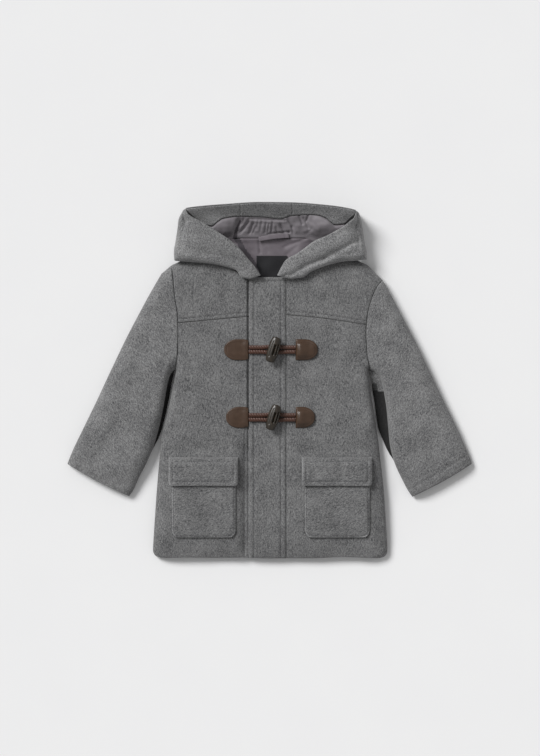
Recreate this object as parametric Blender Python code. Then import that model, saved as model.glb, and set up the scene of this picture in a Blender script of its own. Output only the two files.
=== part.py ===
"""A toddler's hooded duffle coat of grey wool flannel, fastened and laid flat on its back.

Units are millimetres in every table and function, and metres only where a mesh is made. +X is the
viewer's right, +Y points from the hem to the hood, and the coat rests on z = 0. "Left" and "right" in
the names are the viewer's. A panel is worked out from the coat's outline tables: one field gives the
height of the cloth at any place, and each piece is a wall between that field and the field moved in.
"""
import math
from collections import namedtuple

import bmesh
import bpy
from mathutils import Vector

MM = 0.001
SEAM = 0.3                 # gap between pieces that meet at a seam
ARMHOLE_SEAM = 1.1         # the same along the armholes, which curve
LAID = 0.3                 # gap between a piece and the panel it is sewn on
EDGE_LIP = 0.6             # thinnest a panel gets at a folded edge
ROUND_SHARE = 1.3          # width of a folded edge's rounding, as a share of the coat's height there
UNDER_ROUND = 10.0         # width of the rounding below a folded edge
STEEP_ROUND = 0.36         # share of that width where the body's side faces a sleeve
STEEP_MIDDLE, STEEP_HALF = -20.0, 34.0
HEM_Y = -231.0
PLACKET_LEFT, PLACKET_RIGHT = -27.0, 21.0
PLACKET_TOP = 134.0
PLACKET_SINK = 0.21        # how far the left front sinks under the placket, as a share of the height
SINK_START = -44.0         # where the left front starts to sink towards the placket
SINK_COLUMNS = [-39.5, -36.0, -33.0, -30.0, -26.0, -4.0, PLACKET_RIGHT - SEAM]
EXTENSION_WALL = 0.55      # wall of the left front under the placket, as a share of the wall
POCKET_CLOTH = 3.0
LEATHER = 1.8
CORD_RADIUS = 1.9
TOGGLE_LENGTH, TOGGLE_TILT = 34.0, math.radians(17)

Body = namedtuple("Body", "y left right height wall")
BODY = [                   # outline and thickness of the laid coat, from the hem to the neck
    Body(-231, -142.0, 142.5, 11.0, 4.2),
    Body(-228.5, -148.8, 149.8, 12.0, 4.6),
    Body(-222, -152.0, 153.0, 14.0, 5.4),
    Body(-205, -151.2, 152.4, 17.5, 7.1),
    Body(-178, -149.4, 150.6, 20.0, 8.4),
    Body(-148, -147.3, 148.7, 21.0, 8.9),
    Body(-108, -144.0, 144.4, 21.4, 9.0),
    Body(-71, -140.1, 140.1, 21.4, 9.0),
    Body(-44, -133.4, 136.0, 21.4, 9.0),
    Body(-18, -127.9, 132.0, 21.4, 9.0),
    Body(14, -121.9, 128.8, 21.4, 9.0),
    Body(35, -119.6, 126.3, 21.4, 9.0),
    Body(60, -118.8, 124.8, 21.4, 9.0),
    Body(87, -119.7, 127.0, 21.2, 8.9),
    Body(105, -122.6, 131.8, 21.0, 8.8),
    Body(122, -124.5, 139.2, 20.8, 8.7),
    Body(131, -125.4, 146.0, 20.6, 8.6),
    Body(150, -127.0, 127.0, 20.0, 8.3),
    Body(166, -92.0, 90.0, 18.6, 7.7),
    Body(186, -48.0, 48.0, 17.0, 7.0),
]

Corners = namedtuple("Corners", "underarm tip neck")
LEFT = Corners(Vector((-121.9, 14.0)), Vector((-127.0, 150.0)), Vector((-72.0, 175.0)))
RIGHT = Corners(Vector((128.8, 14.0)), Vector((146.0, 131.0)), Vector((72.0, 175.0)))

YOKE_SEAM_LEFT = [(-118.4, 74.5), (-70.0, 79.0), (-26.0, 82.8), (20.7, 84.5)]
YOKE_SEAM_RIGHT = [(21.3, 85.2), (70.0, 80.5), (125.5, 72.2)]
NECKLINE_LEFT = [(-72.0, 175.0), (-62.0, 160.0), (-47.0, 144.0), (-30.0, 134.5), (-10.0, 132.5), (20.7, 132.0)]
NECKLINE_RIGHT = [(72.0, 175.0), (62.0, 160.0), (47.0, 145.0), (32.0, 136.0), (21.3, 133.0)]
SHOULDER_LEFT = [(-127.0, 150.0), (-72.0, 175.0)]
SHOULDER_RIGHT = [(146.0, 131.0), (127.0, 150.0), (72.0, 175.0)]
BACK_TOP = [(-127.0, 150.0), (-72.0, 175.0), (-48.0, 185.0), (48.0, 185.0), (72.0, 175.0), (127.0, 150.0),
            (146.0, 131.0)]

Crease = namedtuple("Crease", "x0 y0 x1 y1 width depth")
CREASES = [                # largest soft troughs in the cloth
    Crease(-69, 146, -34, 103, 9.0, 1.8),     # drag from the hood's corner to the placket
    Crease(-118, -90, -42, -89, 8.0, 1.2),    # above the left pocket
    Crease(48, -92, 118, -91, 8.0, 1.2),      # above the right pocket
    Crease(152, 80, 186, 22, 11.0, 2.0),      # outer side of the right sleeve
    Crease(146, 45, 172, 8, 8.0, 1.3),
    Crease(-150, 88, -168, 38, 10.0, 1.5),    # outer side of the left sleeve
    Crease(-196, -60, -222, -96, 12.0, 1.6),
    Crease(206, -70, 216, -112, 11.0, 1.5),
    Crease(-112, 40, -84, -6, 10.0, 1.4),     # from the left underarm
    Crease(118, 36, 92, -8, 10.0, 1.4),
]

Sleeve = namedtuple("Sleeve", "outer_x outer_y inner_x inner_y height wall under_reach")
SLEEVE_LEFT = [            # from below the armhole to the cuff; under_reach: how far the under layer
    Sleeve(-141.0, 138.5, -127.8, 11.0, 21.6, 9.0, 4.0),      # shows past the inner edge
    Sleeve(-153.5, 117.0, -132.2, -1.0, 22.4, 9.4, 6.0),
    Sleeve(-168.5, 89.5, -135.5, -17.0, 22.6, 9.5, 6.3),
    Sleeve(-187.5, 53.0, -139.6, -40.0, 22.6, 9.5, 5.6),
    Sleeve(-208.4, 9.2, -145.0, -64.0, 22.4, 9.4, 5.0),
    Sleeve(-226.5, -29.5, -152.5, -88.5, 22.0, 9.2, 2.6),
    Sleeve(-243.5, -64.5, -162.3, -111.7, 20.5, 8.5, 0.3),
    Sleeve(-254.0, -86.0, -171.5, -129.5, 18.0, 7.4, 0.0),
    Sleeve(-259.6, -98.6, -177.3, -142.6, 15.0, 6.0, 0.0),
    Sleeve(-263.5, -108.8, -183.0, -151.0, 12.6, 4.9, 0.0),
]
SLEEVE_RIGHT = [
    Sleeve(153.4, 119.0, 136.0, 11.5, 21.6, 9.0, 5.4),
    Sleeve(163.0, 100.5, 144.4, 2.0, 22.4, 9.4, 12.6),
    Sleeve(176.5, 75.0, 149.0, -16.0, 22.6, 9.5, 15.6),
    Sleeve(193.5, 42.0, 152.4, -38.0, 22.6, 9.5, 15.6),
    Sleeve(209.0, 9.5, 154.4, -60.0, 22.4, 9.4, 14.4),
    Sleeve(226.0, -27.0, 156.6, -83.0, 22.0, 9.2, 7.8),
    Sleeve(241.5, -58.0, 163.0, -108.5, 20.5, 8.5, 1.6),
    Sleeve(252.0, -81.0, 173.0, -130.5, 18.0, 7.4, 0.0),
    Sleeve(258.9, -97.0, 180.0, -143.6, 15.0, 6.0, 0.0),
    Sleeve(263.5, -108.4, 185.6, -151.6, 12.6, 4.9, 0.0),
]
INNER_ROUND = {-1: 0.62, 1: 0.4}   # share of the usual rounding along each sleeve's inner fold
WEB_Z, LEDGE_Z = 7.4, 2.8  # height of the under layer below the armpit, and further down

HoodSide = namedtuple("HoodSide", "rim_x rim_y rim_z fold_x fold_y fold_z base wall")
ON_COAT = None             # the base of a section that lies on the coat, not on the table
HOOD_LEFT = [              # from the front neck up the face opening to the hood's top corner
    HoodSide(-11.5, 136.0, 31.0, -26.0, 131.0, 30.0, ON_COAT, 4.6),
    HoodSide(-19.0, 147.0, 34.0, -37.0, 134.0, 32.0, ON_COAT, 6.0),
    HoodSide(-28.0, 157.5, 37.0, -43.0, 142.0, 33.5, ON_COAT, 7.6),
    HoodSide(-39.0, 170.5, 39.5, -57.0, 147.0, 34.0, ON_COAT, 8.6),
    HoodSide(-51.5, 181.6, 41.5, -73.0, 150.6, 34.5, ON_COAT, 9.0),
    HoodSide(-64.0, 190.0, 43.0, -90.5, 152.6, 34.5, ON_COAT, 9.0),
    HoodSide(-75.5, 197.3, 44.0, -108.0, 153.8, 34.0, 12.0, 9.0),
    HoodSide(-84.5, 202.6, 44.6, -124.0, 156.0, 32.0, 4.0, 9.0),
    HoodSide(-91.5, 206.5, 44.8, -124.6, 167.0, 31.5, 0.0, 9.0),
    HoodSide(-97.0, 209.5, 44.8, -122.4, 181.5, 32.0, 0.0, 8.4),
    HoodSide(-101.5, 212.0, 44.4, -120.0, 197.0, 33.5, 0.0, 7.2),
    HoodSide(-105.8, 215.6, 44.0, -118.6, 208.4, 36.0, 0.0, 5.0),
    HoodSide(-109.8, 220.2, 43.4, -115.6, 216.6, 38.5, 0.0, 3.4),
]
HOOD_RIGHT = [
    HoodSide(9.5, 136.0, 31.0, 26.0, 131.4, 30.0, ON_COAT, 4.6),
    HoodSide(14.5, 146.0, 34.0, 43.0, 133.4, 32.0, ON_COAT, 6.0),
    HoodSide(21.5, 156.5, 37.0, 52.0, 139.8, 33.5, ON_COAT, 7.6),
    HoodSide(34.0, 163.4, 39.5, 67.0, 146.6, 34.0, ON_COAT, 8.6),
    HoodSide(46.0, 171.8, 41.5, 83.0, 151.4, 34.5, ON_COAT, 9.0),
    HoodSide(58.0, 180.6, 43.0, 98.0, 154.4, 34.5, ON_COAT, 9.0),
    HoodSide(71.0, 186.0, 44.0, 113.0, 155.4, 34.0, 12.0, 9.0),
    HoodSide(84.0, 192.6, 44.6, 126.4, 157.4, 32.0, 4.0, 9.0),
    HoodSide(93.0, 197.8, 44.8, 125.8, 168.0, 31.5, 0.0, 9.0),
    HoodSide(99.5, 202.4, 44.8, 123.2, 180.0, 32.0, 0.0, 8.4),
    HoodSide(104.0, 206.4, 44.4, 121.2, 194.0, 33.5, 0.0, 7.2),
    HoodSide(108.4, 209.8, 44.0, 119.6, 204.8, 36.0, 0.0, 5.0),
    HoodSide(113.0, 214.2, 43.4, 118.0, 211.0, 38.5, 0.0, 3.4),
]
RIM_WALL = 4.6             # the face opening's turned edge
FOLD_ROUND = 14.0          # width of the rounding where a hood side folds down
TAIL = 1.6                 # how far a hood side's lower edge turns in on what it rests on

HOOD_TOP = [(-117.0, 216.5), (-110.0, 222.5), (-100.0, 224.6), (-60.0, 228.2), (-12.0, 231.0), (26.0, 230.6),
            (78.0, 226.7), (105.0, 222.4), (113.5, 219.2), (119.5, 213.0)]
CROWN_FRONT = [(-108.6, 218.0), (-107.4, 214.0), (-105.4, 197.0), (-103.0, 168.5), (-72.0, 178.5),
               (-50.0, 187.8), (50.0, 187.8), (72.0, 178.5), (103.0, 168.5), (107.6, 194.0), (110.2, 209.0),
               (111.6, 213.0)]
CROWN_STATIONS = [-108.4, -107.4, -105.4, -103.0, -92.0, -80.0, -70.0, -58.0, -40.0, -20.0, 0.0, 20.0, 40.0, 58.0,
                  70.0, 80.0, 92.0, 103.0, 107.6, 110.2, 111.4]
RIM_Z = 43.0               # top of the hood's far edge
NECK_Z = 13.0              # inside of the hood at the back neck seam
FAR_EDGE = 2.8             # width of the outer cloth's rolled edge, seen along the top
INSIDE_UNDER = 5.4         # from the inside surface down to the folded layers
FACING_CLOTH, LINING_CLOTH = 3.6, 2.4
FACING_FRONT = [(-106.0, 217.9), (-103.0, 214.6), (-95.0, 207.0), (-85.0, 201.0), (-75.0, 199.5), (-68.0, 204.8), (-60.0, 209.6),
                (-40.0, 212.2), (-8.0, 211.3), (14.7, 209.0), (25.0, 212.6), (50.0, 214.4), (62.0, 213.6),
                (73.0, 209.6), (85.0, 201.0), (96.0, 202.0), (105.0, 209.6), (110.5, 213.6)]
HOOD_SEAM_LEFT, HOOD_SEAM_RIGHT = -38.3, 28.9
GATHERS, GATHER_DEPTH = 12, 1.3
GATHER_FROM, GATHER_TO = -44.0, 54.0
NECK_OVERLAP = 2.8         # how far the gathered lining comes over the back neck seam
Puff = namedtuple("Puff", "x y radius_x radius_y height")
PUFFS = [Puff(-59, 197, 17, 15, 5.0), Puff(66, 198, 22, 14, 5.5), Puff(-84, 190, 14, 16, 2.5),
         Puff(88, 186, 14, 16, 2.5), Puff(-38, 166, 10, 20, 4.5), Puff(40, 162, 11, 18, 4.5)]

Fastener = namedtuple("Fastener", "name y left_from right_to")
FASTENERS = [Fastener("upper", 39.7, -59.5, 62.7), Fastener("lower", -48.1, -57.0, 59.0)]
PATCH_HALF_HEIGHT = 13.6
LEFT_PATCH_EDGE, RIGHT_PATCH_EDGE = -27.6, 33.6
TOGGLE_X = 4.7
STRAND_OFFSET = 3.3        # half the distance between the two strands of a cord
TOGGLE_SECTIONS = [(-0.50, 7.6, 5.6), (-0.46, 10.0, 7.4), (-0.28, 13.4, 9.6), (-0.08, 15.0, 10.4),
                   (0.08, 15.0, 10.4), (0.28, 13.4, 9.6), (0.46, 10.0, 7.4), (0.50, 7.6, 5.6)]

Finish = namedtuple("Finish", "colour roughness metallic")
FINISHES = {
    "wool_flannel": Finish((0.133, 0.133, 0.138), 0.95, 0.0),
    "lining": Finish((0.118, 0.108, 0.116), 0.62, 0.0),
    "leather": Finish((0.082, 0.048, 0.032), 0.42, 0.0),
    "leather_cord": Finish((0.060, 0.034, 0.024), 0.55, 0.0),
    "horn": Finish((0.040, 0.032, 0.022), 0.35, 0.0),
    "label_weave": Finish((0.012, 0.012, 0.013), 0.70, 0.0),
}


# ---------------------------------------------------------------- numbers and curves

def mix(a, b, t):
    return a + (b - a) * t


def clamp(value, low=0.0, high=1.0):
    return max(low, min(high, value))


def smooth(t):
    t = clamp(t)
    return t * t * (3 - 2 * t)


def dome(distance, width):
    """Quarter of an ellipse: 0 at a folded edge, 1 from `width` inwards."""
    return math.sqrt(1 - (1 - clamp(distance / width)) ** 2)


def along(rows, key, at):
    """Read a table of named columns at a place between two rows, without overshoot."""
    columns = [[getattr(row, name) for row in rows] for name in rows[0]._fields]
    keys = columns[rows[0]._fields.index(key)]
    return type(rows[0])(*(curve_value(keys, column, at) for column in columns))


def curve_value(keys, values, at):
    """Cubic through the values, with slopes limited so that it never passes a value."""
    at = clamp(at, keys[0], keys[-1])
    last = len(keys) - 2
    i = next((k for k in range(last + 1) if at <= keys[k + 1]), last)
    steps = [(values[k + 1] - values[k]) / (keys[k + 1] - keys[k]) for k in range(len(keys) - 1)]

    def slope(k):
        if k == 0 or k == len(keys) - 1:
            return steps[min(k, len(steps) - 1)]
        before, after = steps[k - 1], steps[k]
        return 0.0 if before * after <= 0 else 2 * before * after / (before + after)

    width = keys[i + 1] - keys[i]
    t = (at - keys[i]) / width
    return ((1 + 2 * t) * (1 - t) ** 2 * values[i] + t * (1 - t) ** 2 * width * slope(i)
            + t * t * (3 - 2 * t) * values[i + 1] + t * t * (t - 1) * width * slope(i + 1))


def line_value(points, at):
    """Height of a smooth outline, given as (x, y) points in order of x, at one x."""
    return curve_value([p[0] for p in points], [p[1] for p in points], at)


def path_point(points, t):
    """Point at a share t of the length of straight runs through the points."""
    points = [Vector(p) for p in points]
    lengths = [(b - a).length for a, b in zip(points, points[1:])]
    rest = clamp(t) * sum(lengths)
    for a, b, length in zip(points, points[1:], lengths):
        if rest <= length:
            return a.lerp(b, rest / length)
        rest -= length
    return points[-1]


def segment_distance(x, y, points):
    here = Vector((x, y))
    best = math.inf
    for a, b in zip(points, points[1:]):
        a, b = Vector(a), Vector(b)
        share = clamp((here - a).dot(b - a) / (b - a).length_squared)
        best = min(best, (here - a.lerp(b, share)).length)
    return best


def graded(length, start_round, end_round, middle, edge=4):
    """Shares from 0 to 1 that crowd where an edge is rounded."""
    angles = [math.pi / 2 * k / edge for k in range(edge)]
    start = [start_round * (1 - math.cos(a)) / length for a in angles] if start_round else [0.0]
    end = [1 - end_round * (1 - math.cos(a)) / length for a in reversed(angles)] if end_round else [1.0]
    first = start_round / length if start_round else 0.0
    last = 1 - end_round / length if end_round else 1.0
    inner = [mix(first, last, k / middle) for k in range(0 if start_round else 1, middle + (1 if end_round else 0))]
    return start + inner + end


# ---------------------------------------------------------------- the height of the cloth

def body_at(y):
    return along(BODY, "y", y)


def crease(x, y):
    """Depth of the soft troughs at a place."""
    depth = 0.0
    for c in CREASES:
        away = segment_distance(x, y, [(c.x0, c.y0), (c.x1, c.y1)])
        depth += c.depth * math.exp(-(away / c.width) ** 2)
    return depth


def side_distance(x, y, corners, edge_x, inward):
    if y < corners.underarm.y:
        return max(0.0, (x - edge_x) * inward)
    return math.hypot(x - corners.underarm.x, y - corners.underarm.y)


def steep(y):
    """Share of the usual rounding that a folded edge has: less where body and sleeve face each other."""
    return mix(STEEP_ROUND, 1.0, smooth((abs(y - STEEP_MIDDLE) - STEEP_HALF) / 25.0))


def roundness(x, y, width, side_share=1.0):
    """1 inside the body, falling to 0 at its folded sides and its shoulders."""
    row = body_at(min(y, LEFT.tip.y))
    share = dome(side_distance(x, y, LEFT, row.left, 1), width * side_share)
    share *= dome(side_distance(x, y, RIGHT, row.right, -1), width * side_share)
    share *= dome(segment_distance(x, y, SHOULDER_LEFT), width)
    return share * dome(segment_distance(x, y, SHOULDER_RIGHT), width)


def seam_height(row):
    """Height of the seam where the front and back meet at a folded edge."""
    return row.wall + 0.45


def body_top(x, y):
    """Outside of the fronts and yokes."""
    row = body_at(y)
    low = seam_height(row)
    lift = roundness(x, y, ROUND_SHARE * row.height, steep(y))
    return max(low + EDGE_LIP + 0.15, mix(low, row.height - crease(x, y), lift))


def sink_share(x):
    return smooth((x - SINK_START) / (PLACKET_LEFT - 3 - SINK_START))


def front_outside(x, y, under_placket):
    top = body_top(x, y)
    return top - PLACKET_SINK * body_at(y).height * sink_share(x) if under_placket else top


def front_inside(x, y, under_placket):
    row = body_at(y)
    wall = row.wall * (mix(1.0, EXTENSION_WALL, sink_share(x)) if under_placket else 1.0)
    floor = max(seam_height(row) + 0.15, row.wall + 0.6)
    return max(front_outside(x, y, under_placket) - wall, floor)


def back_outside(x, y):
    row = body_at(y)
    return (seam_height(row) - 0.15 - EDGE_LIP) * (1 - roundness(x, y, UNDER_ROUND))


def back_inside(x, y):
    row = body_at(y)
    return mix(seam_height(row) - 0.15, row.wall, smooth(roundness(x, y, UNDER_ROUND + row.wall)))


def placket_top(y):
    return body_at(y).height + 0.6


# ---------------------------------------------------------------- turning points into solids

def material(name):
    found = bpy.data.materials.get(name)
    if found:
        return found
    finish = FINISHES[name]
    made = bpy.data.materials.new(name)
    made.use_nodes = True
    shader = made.node_tree.nodes["Principled BSDF"]
    shader.inputs["Base Color"].default_value = (*finish.colour, 1.0)
    shader.inputs["Roughness"].default_value = finish.roughness
    shader.inputs["Metallic"].default_value = finish.metallic
    return made


def add_object(name, mesh_data, finish):
    mesh = bpy.data.meshes.new(name)
    mesh_data.to_mesh(mesh)
    mesh_data.free()
    mesh.materials.append(material(finish))
    mesh.shade_smooth()
    made = bpy.data.objects.new(name, mesh)
    bpy.context.collection.objects.link(made)
    return made


def finish_solid(name, solid, finish):
    bmesh.ops.triangulate(solid, faces=solid.faces[:])
    bmesh.ops.recalc_face_normals(solid, faces=solid.faces[:])
    return add_object(name, solid, finish)


def new_points(solid, rows):
    return [[solid.verts.new(Vector(p) * MM) for p in row] for row in rows]


def skin(solid, rows, closed):
    """Faces between neighbouring rows; closed rows join their last point to their first."""
    count = len(rows[0])
    for a, b in zip(rows, rows[1:]):
        for k in range(count if closed else count - 1):
            n = (k + 1) % count
            solid.faces.new((a[k], a[n], b[n], b[k]))


def wall_solid(name, outside, inside, finish):
    """Closed wall between two grids of points that share their plan."""
    solid = bmesh.new()
    out, inn = new_points(solid, outside), new_points(solid, inside)
    skin(solid, out, False)
    skin(solid, inn, False)
    skin(solid, [out[0], inn[0]], False)
    skin(solid, [out[-1], inn[-1]], False)
    skin(solid, [[row[0] for row in out], [row[0] for row in inn]], False)
    skin(solid, [[row[-1] for row in out], [row[-1] for row in inn]], False)
    return finish_solid(name, solid, finish)


def tube_solid(name, outside, inside, finish):
    """Closed wall between two stacks of rings, open at both ends."""
    solid = bmesh.new()
    out, inn = new_points(solid, outside), new_points(solid, inside)
    skin(solid, out, True)
    skin(solid, inn, True)
    skin(solid, [out[0], inn[0]], True)
    skin(solid, [out[-1], inn[-1]], True)
    return finish_solid(name, solid, finish)


def ring_solid(name, rings, finish):
    """Solid through a stack of closed outlines, with both ends filled."""
    solid = bmesh.new()
    rows = new_points(solid, rings)
    skin(solid, rows, True)
    for row in (rows[0], rows[-1]):
        hub = solid.verts.new(sum((v.co for v in row), Vector()) / len(row))
        for a, b in zip(row, row[1:] + row[:1]):
            solid.faces.new((a, b, hub))
    return finish_solid(name, solid, finish)


def panel(name, plan, outside, inside, finish):
    """Wall over a grid of plan points, between two heights that depend on the place."""
    top = [[(x, y, outside(x, y)) for x, y in row] for row in plan]
    under = [[(x, y, inside(x, y)) for x, y in row] for row in plan]
    return wall_solid(name, top, under, finish)


def patch_plan(left, right, bottom, top, across, upward):
    """Plan points between four edges, each a function of a share from 0 to 1."""
    corners = (left(0), right(0), left(1), right(1))
    rows = []
    for t in upward:
        row = []
        for s in across:
            sides = left(t).lerp(right(t), s) + bottom(s).lerp(top(s), t)
            flat = corners[0].lerp(corners[1], s).lerp(corners[2].lerp(corners[3], s), t)
            row.append(tuple(sides - flat))
        rows.append(row)
    return rows


# ---------------------------------------------------------------- body

def body_side(y, side):
    row = body_at(y)
    return Vector((row.left if side < 0 else row.right, y))


def shifted(points, dx=0.0, dy=0.0):
    return [(p[0] + dx, p[1] + dy) for p in points]


def make_back():
    top = lambda s: path_point(BACK_TOP, s)
    left = lambda t: body_side(mix(HEM_Y, LEFT.tip.y, t), -1)
    right = lambda t: body_side(mix(HEM_Y, RIGHT.tip.y, t), 1)
    bottom = lambda s: left(0).lerp(right(0), s)
    across = graded(270, UNDER_ROUND, UNDER_ROUND, 14, 3)
    upward = graded(400, 14, 14, 14, 3)
    plan = patch_plan(left, right, bottom, top, across, upward)
    panel("back", plan, back_inside, back_outside, "wool_flannel")


def make_fronts():
    round_width = ROUND_SHARE * BODY[6].height
    upward = graded(305, 30, 0, 14, 4)
    seam_left, seam_right = shifted(YOKE_SEAM_LEFT, dy=-SEAM), shifted(YOKE_SEAM_RIGHT, dy=-SEAM)
    inner_right = PLACKET_RIGHT + SEAM
    plan = []
    for t in upward:
        row = []
        for share in graded(105, round_width, 0, 4):
            y = mix(HEM_Y, line_value(seam_left, mix(seam_left[0][0], SINK_START, share)), t)
            row.append((mix(body_at(y).left, SINK_START, share), y))
        row += [(x, mix(HEM_Y, line_value(seam_left, x), t)) for x in SINK_COLUMNS]
        plan.append(row)
    panel("front_left", plan, lambda x, y: front_outside(x, y, True), lambda x, y: front_inside(x, y, True),
          "wool_flannel")
    plan = patch_plan(
        left=lambda t: Vector((inner_right, mix(HEM_Y, seam_right[0][1], t))),
        right=lambda t: body_side(mix(HEM_Y, seam_right[-1][1], t), 1),
        bottom=lambda s: Vector((mix(inner_right, body_at(HEM_Y).right, s), HEM_Y)),
        top=lambda s: Vector((mix(inner_right, seam_right[-1][0], s),
                              line_value(seam_right, mix(inner_right, seam_right[-1][0], s)))),
        across=graded(130, 0, round_width, 8), upward=upward)
    panel("front_right", plan, lambda x, y: front_outside(x, y, False), lambda x, y: front_inside(x, y, False),
          "wool_flannel")


def make_yokes():
    inner_right = PLACKET_RIGHT + SEAM
    upward = graded(95, 0, 26, 3, 3)
    across = graded(150, 26, 0, 9, 3)
    corner = Vector((SINK_START, line_value(NECKLINE_LEFT, SINK_START)))
    top_left = SHOULDER_LEFT + [p for p in NECKLINE_LEFT[1:] if p[0] < SINK_START] + [tuple(corner)]
    start = Vector((SINK_START, line_value(YOKE_SEAM_LEFT, SINK_START)))
    plan = patch_plan(
        left=lambda t: body_side(mix(YOKE_SEAM_LEFT[0][1], LEFT.tip.y, t), -1),
        right=lambda t: start.lerp(corner, t),
        bottom=lambda s: Vector((mix(YOKE_SEAM_LEFT[0][0], SINK_START, s),
                                 line_value(YOKE_SEAM_LEFT, mix(YOKE_SEAM_LEFT[0][0], SINK_START, s)))),
        top=lambda s: path_point(top_left, s),
        across=graded(75, 26, 0, 5, 3), upward=upward)
    for row, t in zip(plan, upward):
        row += [(x, mix(line_value(YOKE_SEAM_LEFT, x), line_value(NECKLINE_LEFT, x), t)) for x in SINK_COLUMNS]
    panel("yoke_left", plan, lambda x, y: front_outside(x, y, True), lambda x, y: front_inside(x, y, True),
          "wool_flannel")
    top_right = list(reversed(SHOULDER_RIGHT + NECKLINE_RIGHT[1:]))
    plan = patch_plan(
        left=lambda t: Vector((inner_right, mix(YOKE_SEAM_RIGHT[0][1], NECKLINE_RIGHT[-1][1], t))),
        right=lambda t: body_side(mix(YOKE_SEAM_RIGHT[-1][1], RIGHT.tip.y, t), 1),
        bottom=lambda s: Vector((mix(inner_right, YOKE_SEAM_RIGHT[-1][0], s),
                                 line_value(YOKE_SEAM_RIGHT, mix(inner_right, YOKE_SEAM_RIGHT[-1][0], s)))),
        top=lambda s: path_point(top_right, s),
        across=[1 - s for s in reversed(across)], upward=upward)
    panel("yoke_right", plan, lambda x, y: front_outside(x, y, False), lambda x, y: front_inside(x, y, False),
          "wool_flannel")


def make_placket():
    columns = (PLACKET_LEFT, PLACKET_LEFT + 2, -9.0, 6.0, PLACKET_RIGHT - 2, PLACKET_RIGHT)
    plan = [[(x, mix(HEM_Y, PLACKET_TOP, t)) for x in columns] for t in graded(365, 20, 0, 16, 4)]
    panel("placket", plan,
          lambda x, y: placket_top(y) - crease(x, y) - (0.7 if min(x - PLACKET_LEFT, PLACKET_RIGHT - x) < 0.5 else 0),
          lambda x, y: body_at(y).height * (1 - PLACKET_SINK) - crease(x, y) + 2 * LAID, "wool_flannel")


# ---------------------------------------------------------------- sleeves

UNDER_SHARES = (0.85, 0.67, 0.5, 0.33, 0.15)


def sleeve_ring(place, length, height, wall, under_reach, inner_share, web):
    """Outer and inner ring of a laid sleeve; place(s) gives the plan point s mm from its outer edge."""
    width = ROUND_SHARE * height
    inner_width = width * inner_share
    low = wall + 0.45
    shares = graded(length, width, inner_width, 5, 4)

    def top(s):
        x, y = place(s)
        lift = dome(s, width) * dome(length - s, inner_width)
        return mix(low, height - crease(x, y), lift)

    outer = [(length * share, top(length * share)) for share in shares]
    shown, ledge = clamp(under_reach / 4), mix(LEDGE_Z, WEB_Z, web)
    for side, z in ((mix(-0.25, 0.3, shown), mix(7.9, ledge + 0.5, shown)),
                    (under_reach - 0.8, mix(6.2, ledge, shown)),
                    (under_reach - mix(3.0, 1.6, shown), mix(2.2, ledge * 0.45, shown)),
                    (under_reach * 0.8 - 9.0, 0.0)):
        outer.append((length + side, z * low / 9.45))
    outer += [(length * share, 0.0) for share in UNDER_SHARES]
    outer += [(9.0, 0.0), (3.0, 2.6 * low / 9.45), (0.8, 6.2 * low / 9.45)]
    edge = wall + 1.0
    inner = []
    for share in shares:
        s = mix(edge, length - edge, share)
        inner.append((s, max(top(s) - wall, wall + 1.3)))
    inner += [(length - edge - 0.4, wall + 0.25), (length - edge - 1.2, wall + 0.12), (length - edge - 2.4, wall + 0.04),
              (length - edge - 4.0, wall)]
    inner += [(mix(edge + 4.0, length - edge - 4.0, share), wall) for share in UNDER_SHARES]
    inner += [(edge + 4.0, wall), (edge + 1.5, wall + 0.1), (edge + 0.4, wall + 0.25)]
    return tuple([(*place(s), z) for s, z in ring] for ring in (outer, inner))


def sleeve_place(outer, inner, side):
    """Plan point at a distance from the outer edge; past the inner edge it goes straight to the body."""
    direction, length = (inner - outer).normalized(), (inner - outer).length

    def place(s):
        point = outer + direction * min(s, length)
        return point.x - side * max(0.0, s - length), point.y

    return place


def make_sleeve(name, rows, corners, side):
    def armhole(s):
        length = corners.tip.y - corners.underarm.y
        point = body_side(corners.tip.y - clamp(s, 0, length), side)
        return point.x + side * ARMHOLE_SEAM, point.y

    head = body_at(80)
    rings = [sleeve_ring(armhole, corners.tip.y - corners.underarm.y, head.height, head.wall, 0.0, 1.0, 1.0)]
    for row in rows:
        outer, inner = Vector((row.outer_x, row.outer_y)), Vector((row.inner_x, row.inner_y))
        share = mix(INNER_ROUND[side], 1.0, smooth((-100.0 - row.inner_y) / 40.0))
        web = 1 - smooth((6.0 - row.inner_y) / 20.0)
        rings.append(sleeve_ring(sleeve_place(outer, inner, side), (inner - outer).length, row.height, row.wall,
                                 row.under_reach, share, web))
    tube_solid(name, [r[0] for r in rings], [r[1] for r in rings], "wool_flannel")


# ---------------------------------------------------------------- hood

def coat_surface(x, y):
    return placket_top(y) if PLACKET_LEFT - 2 < x < PLACKET_RIGHT + 2 and y < PLACKET_TOP + 2 else body_top(x, y)


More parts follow.
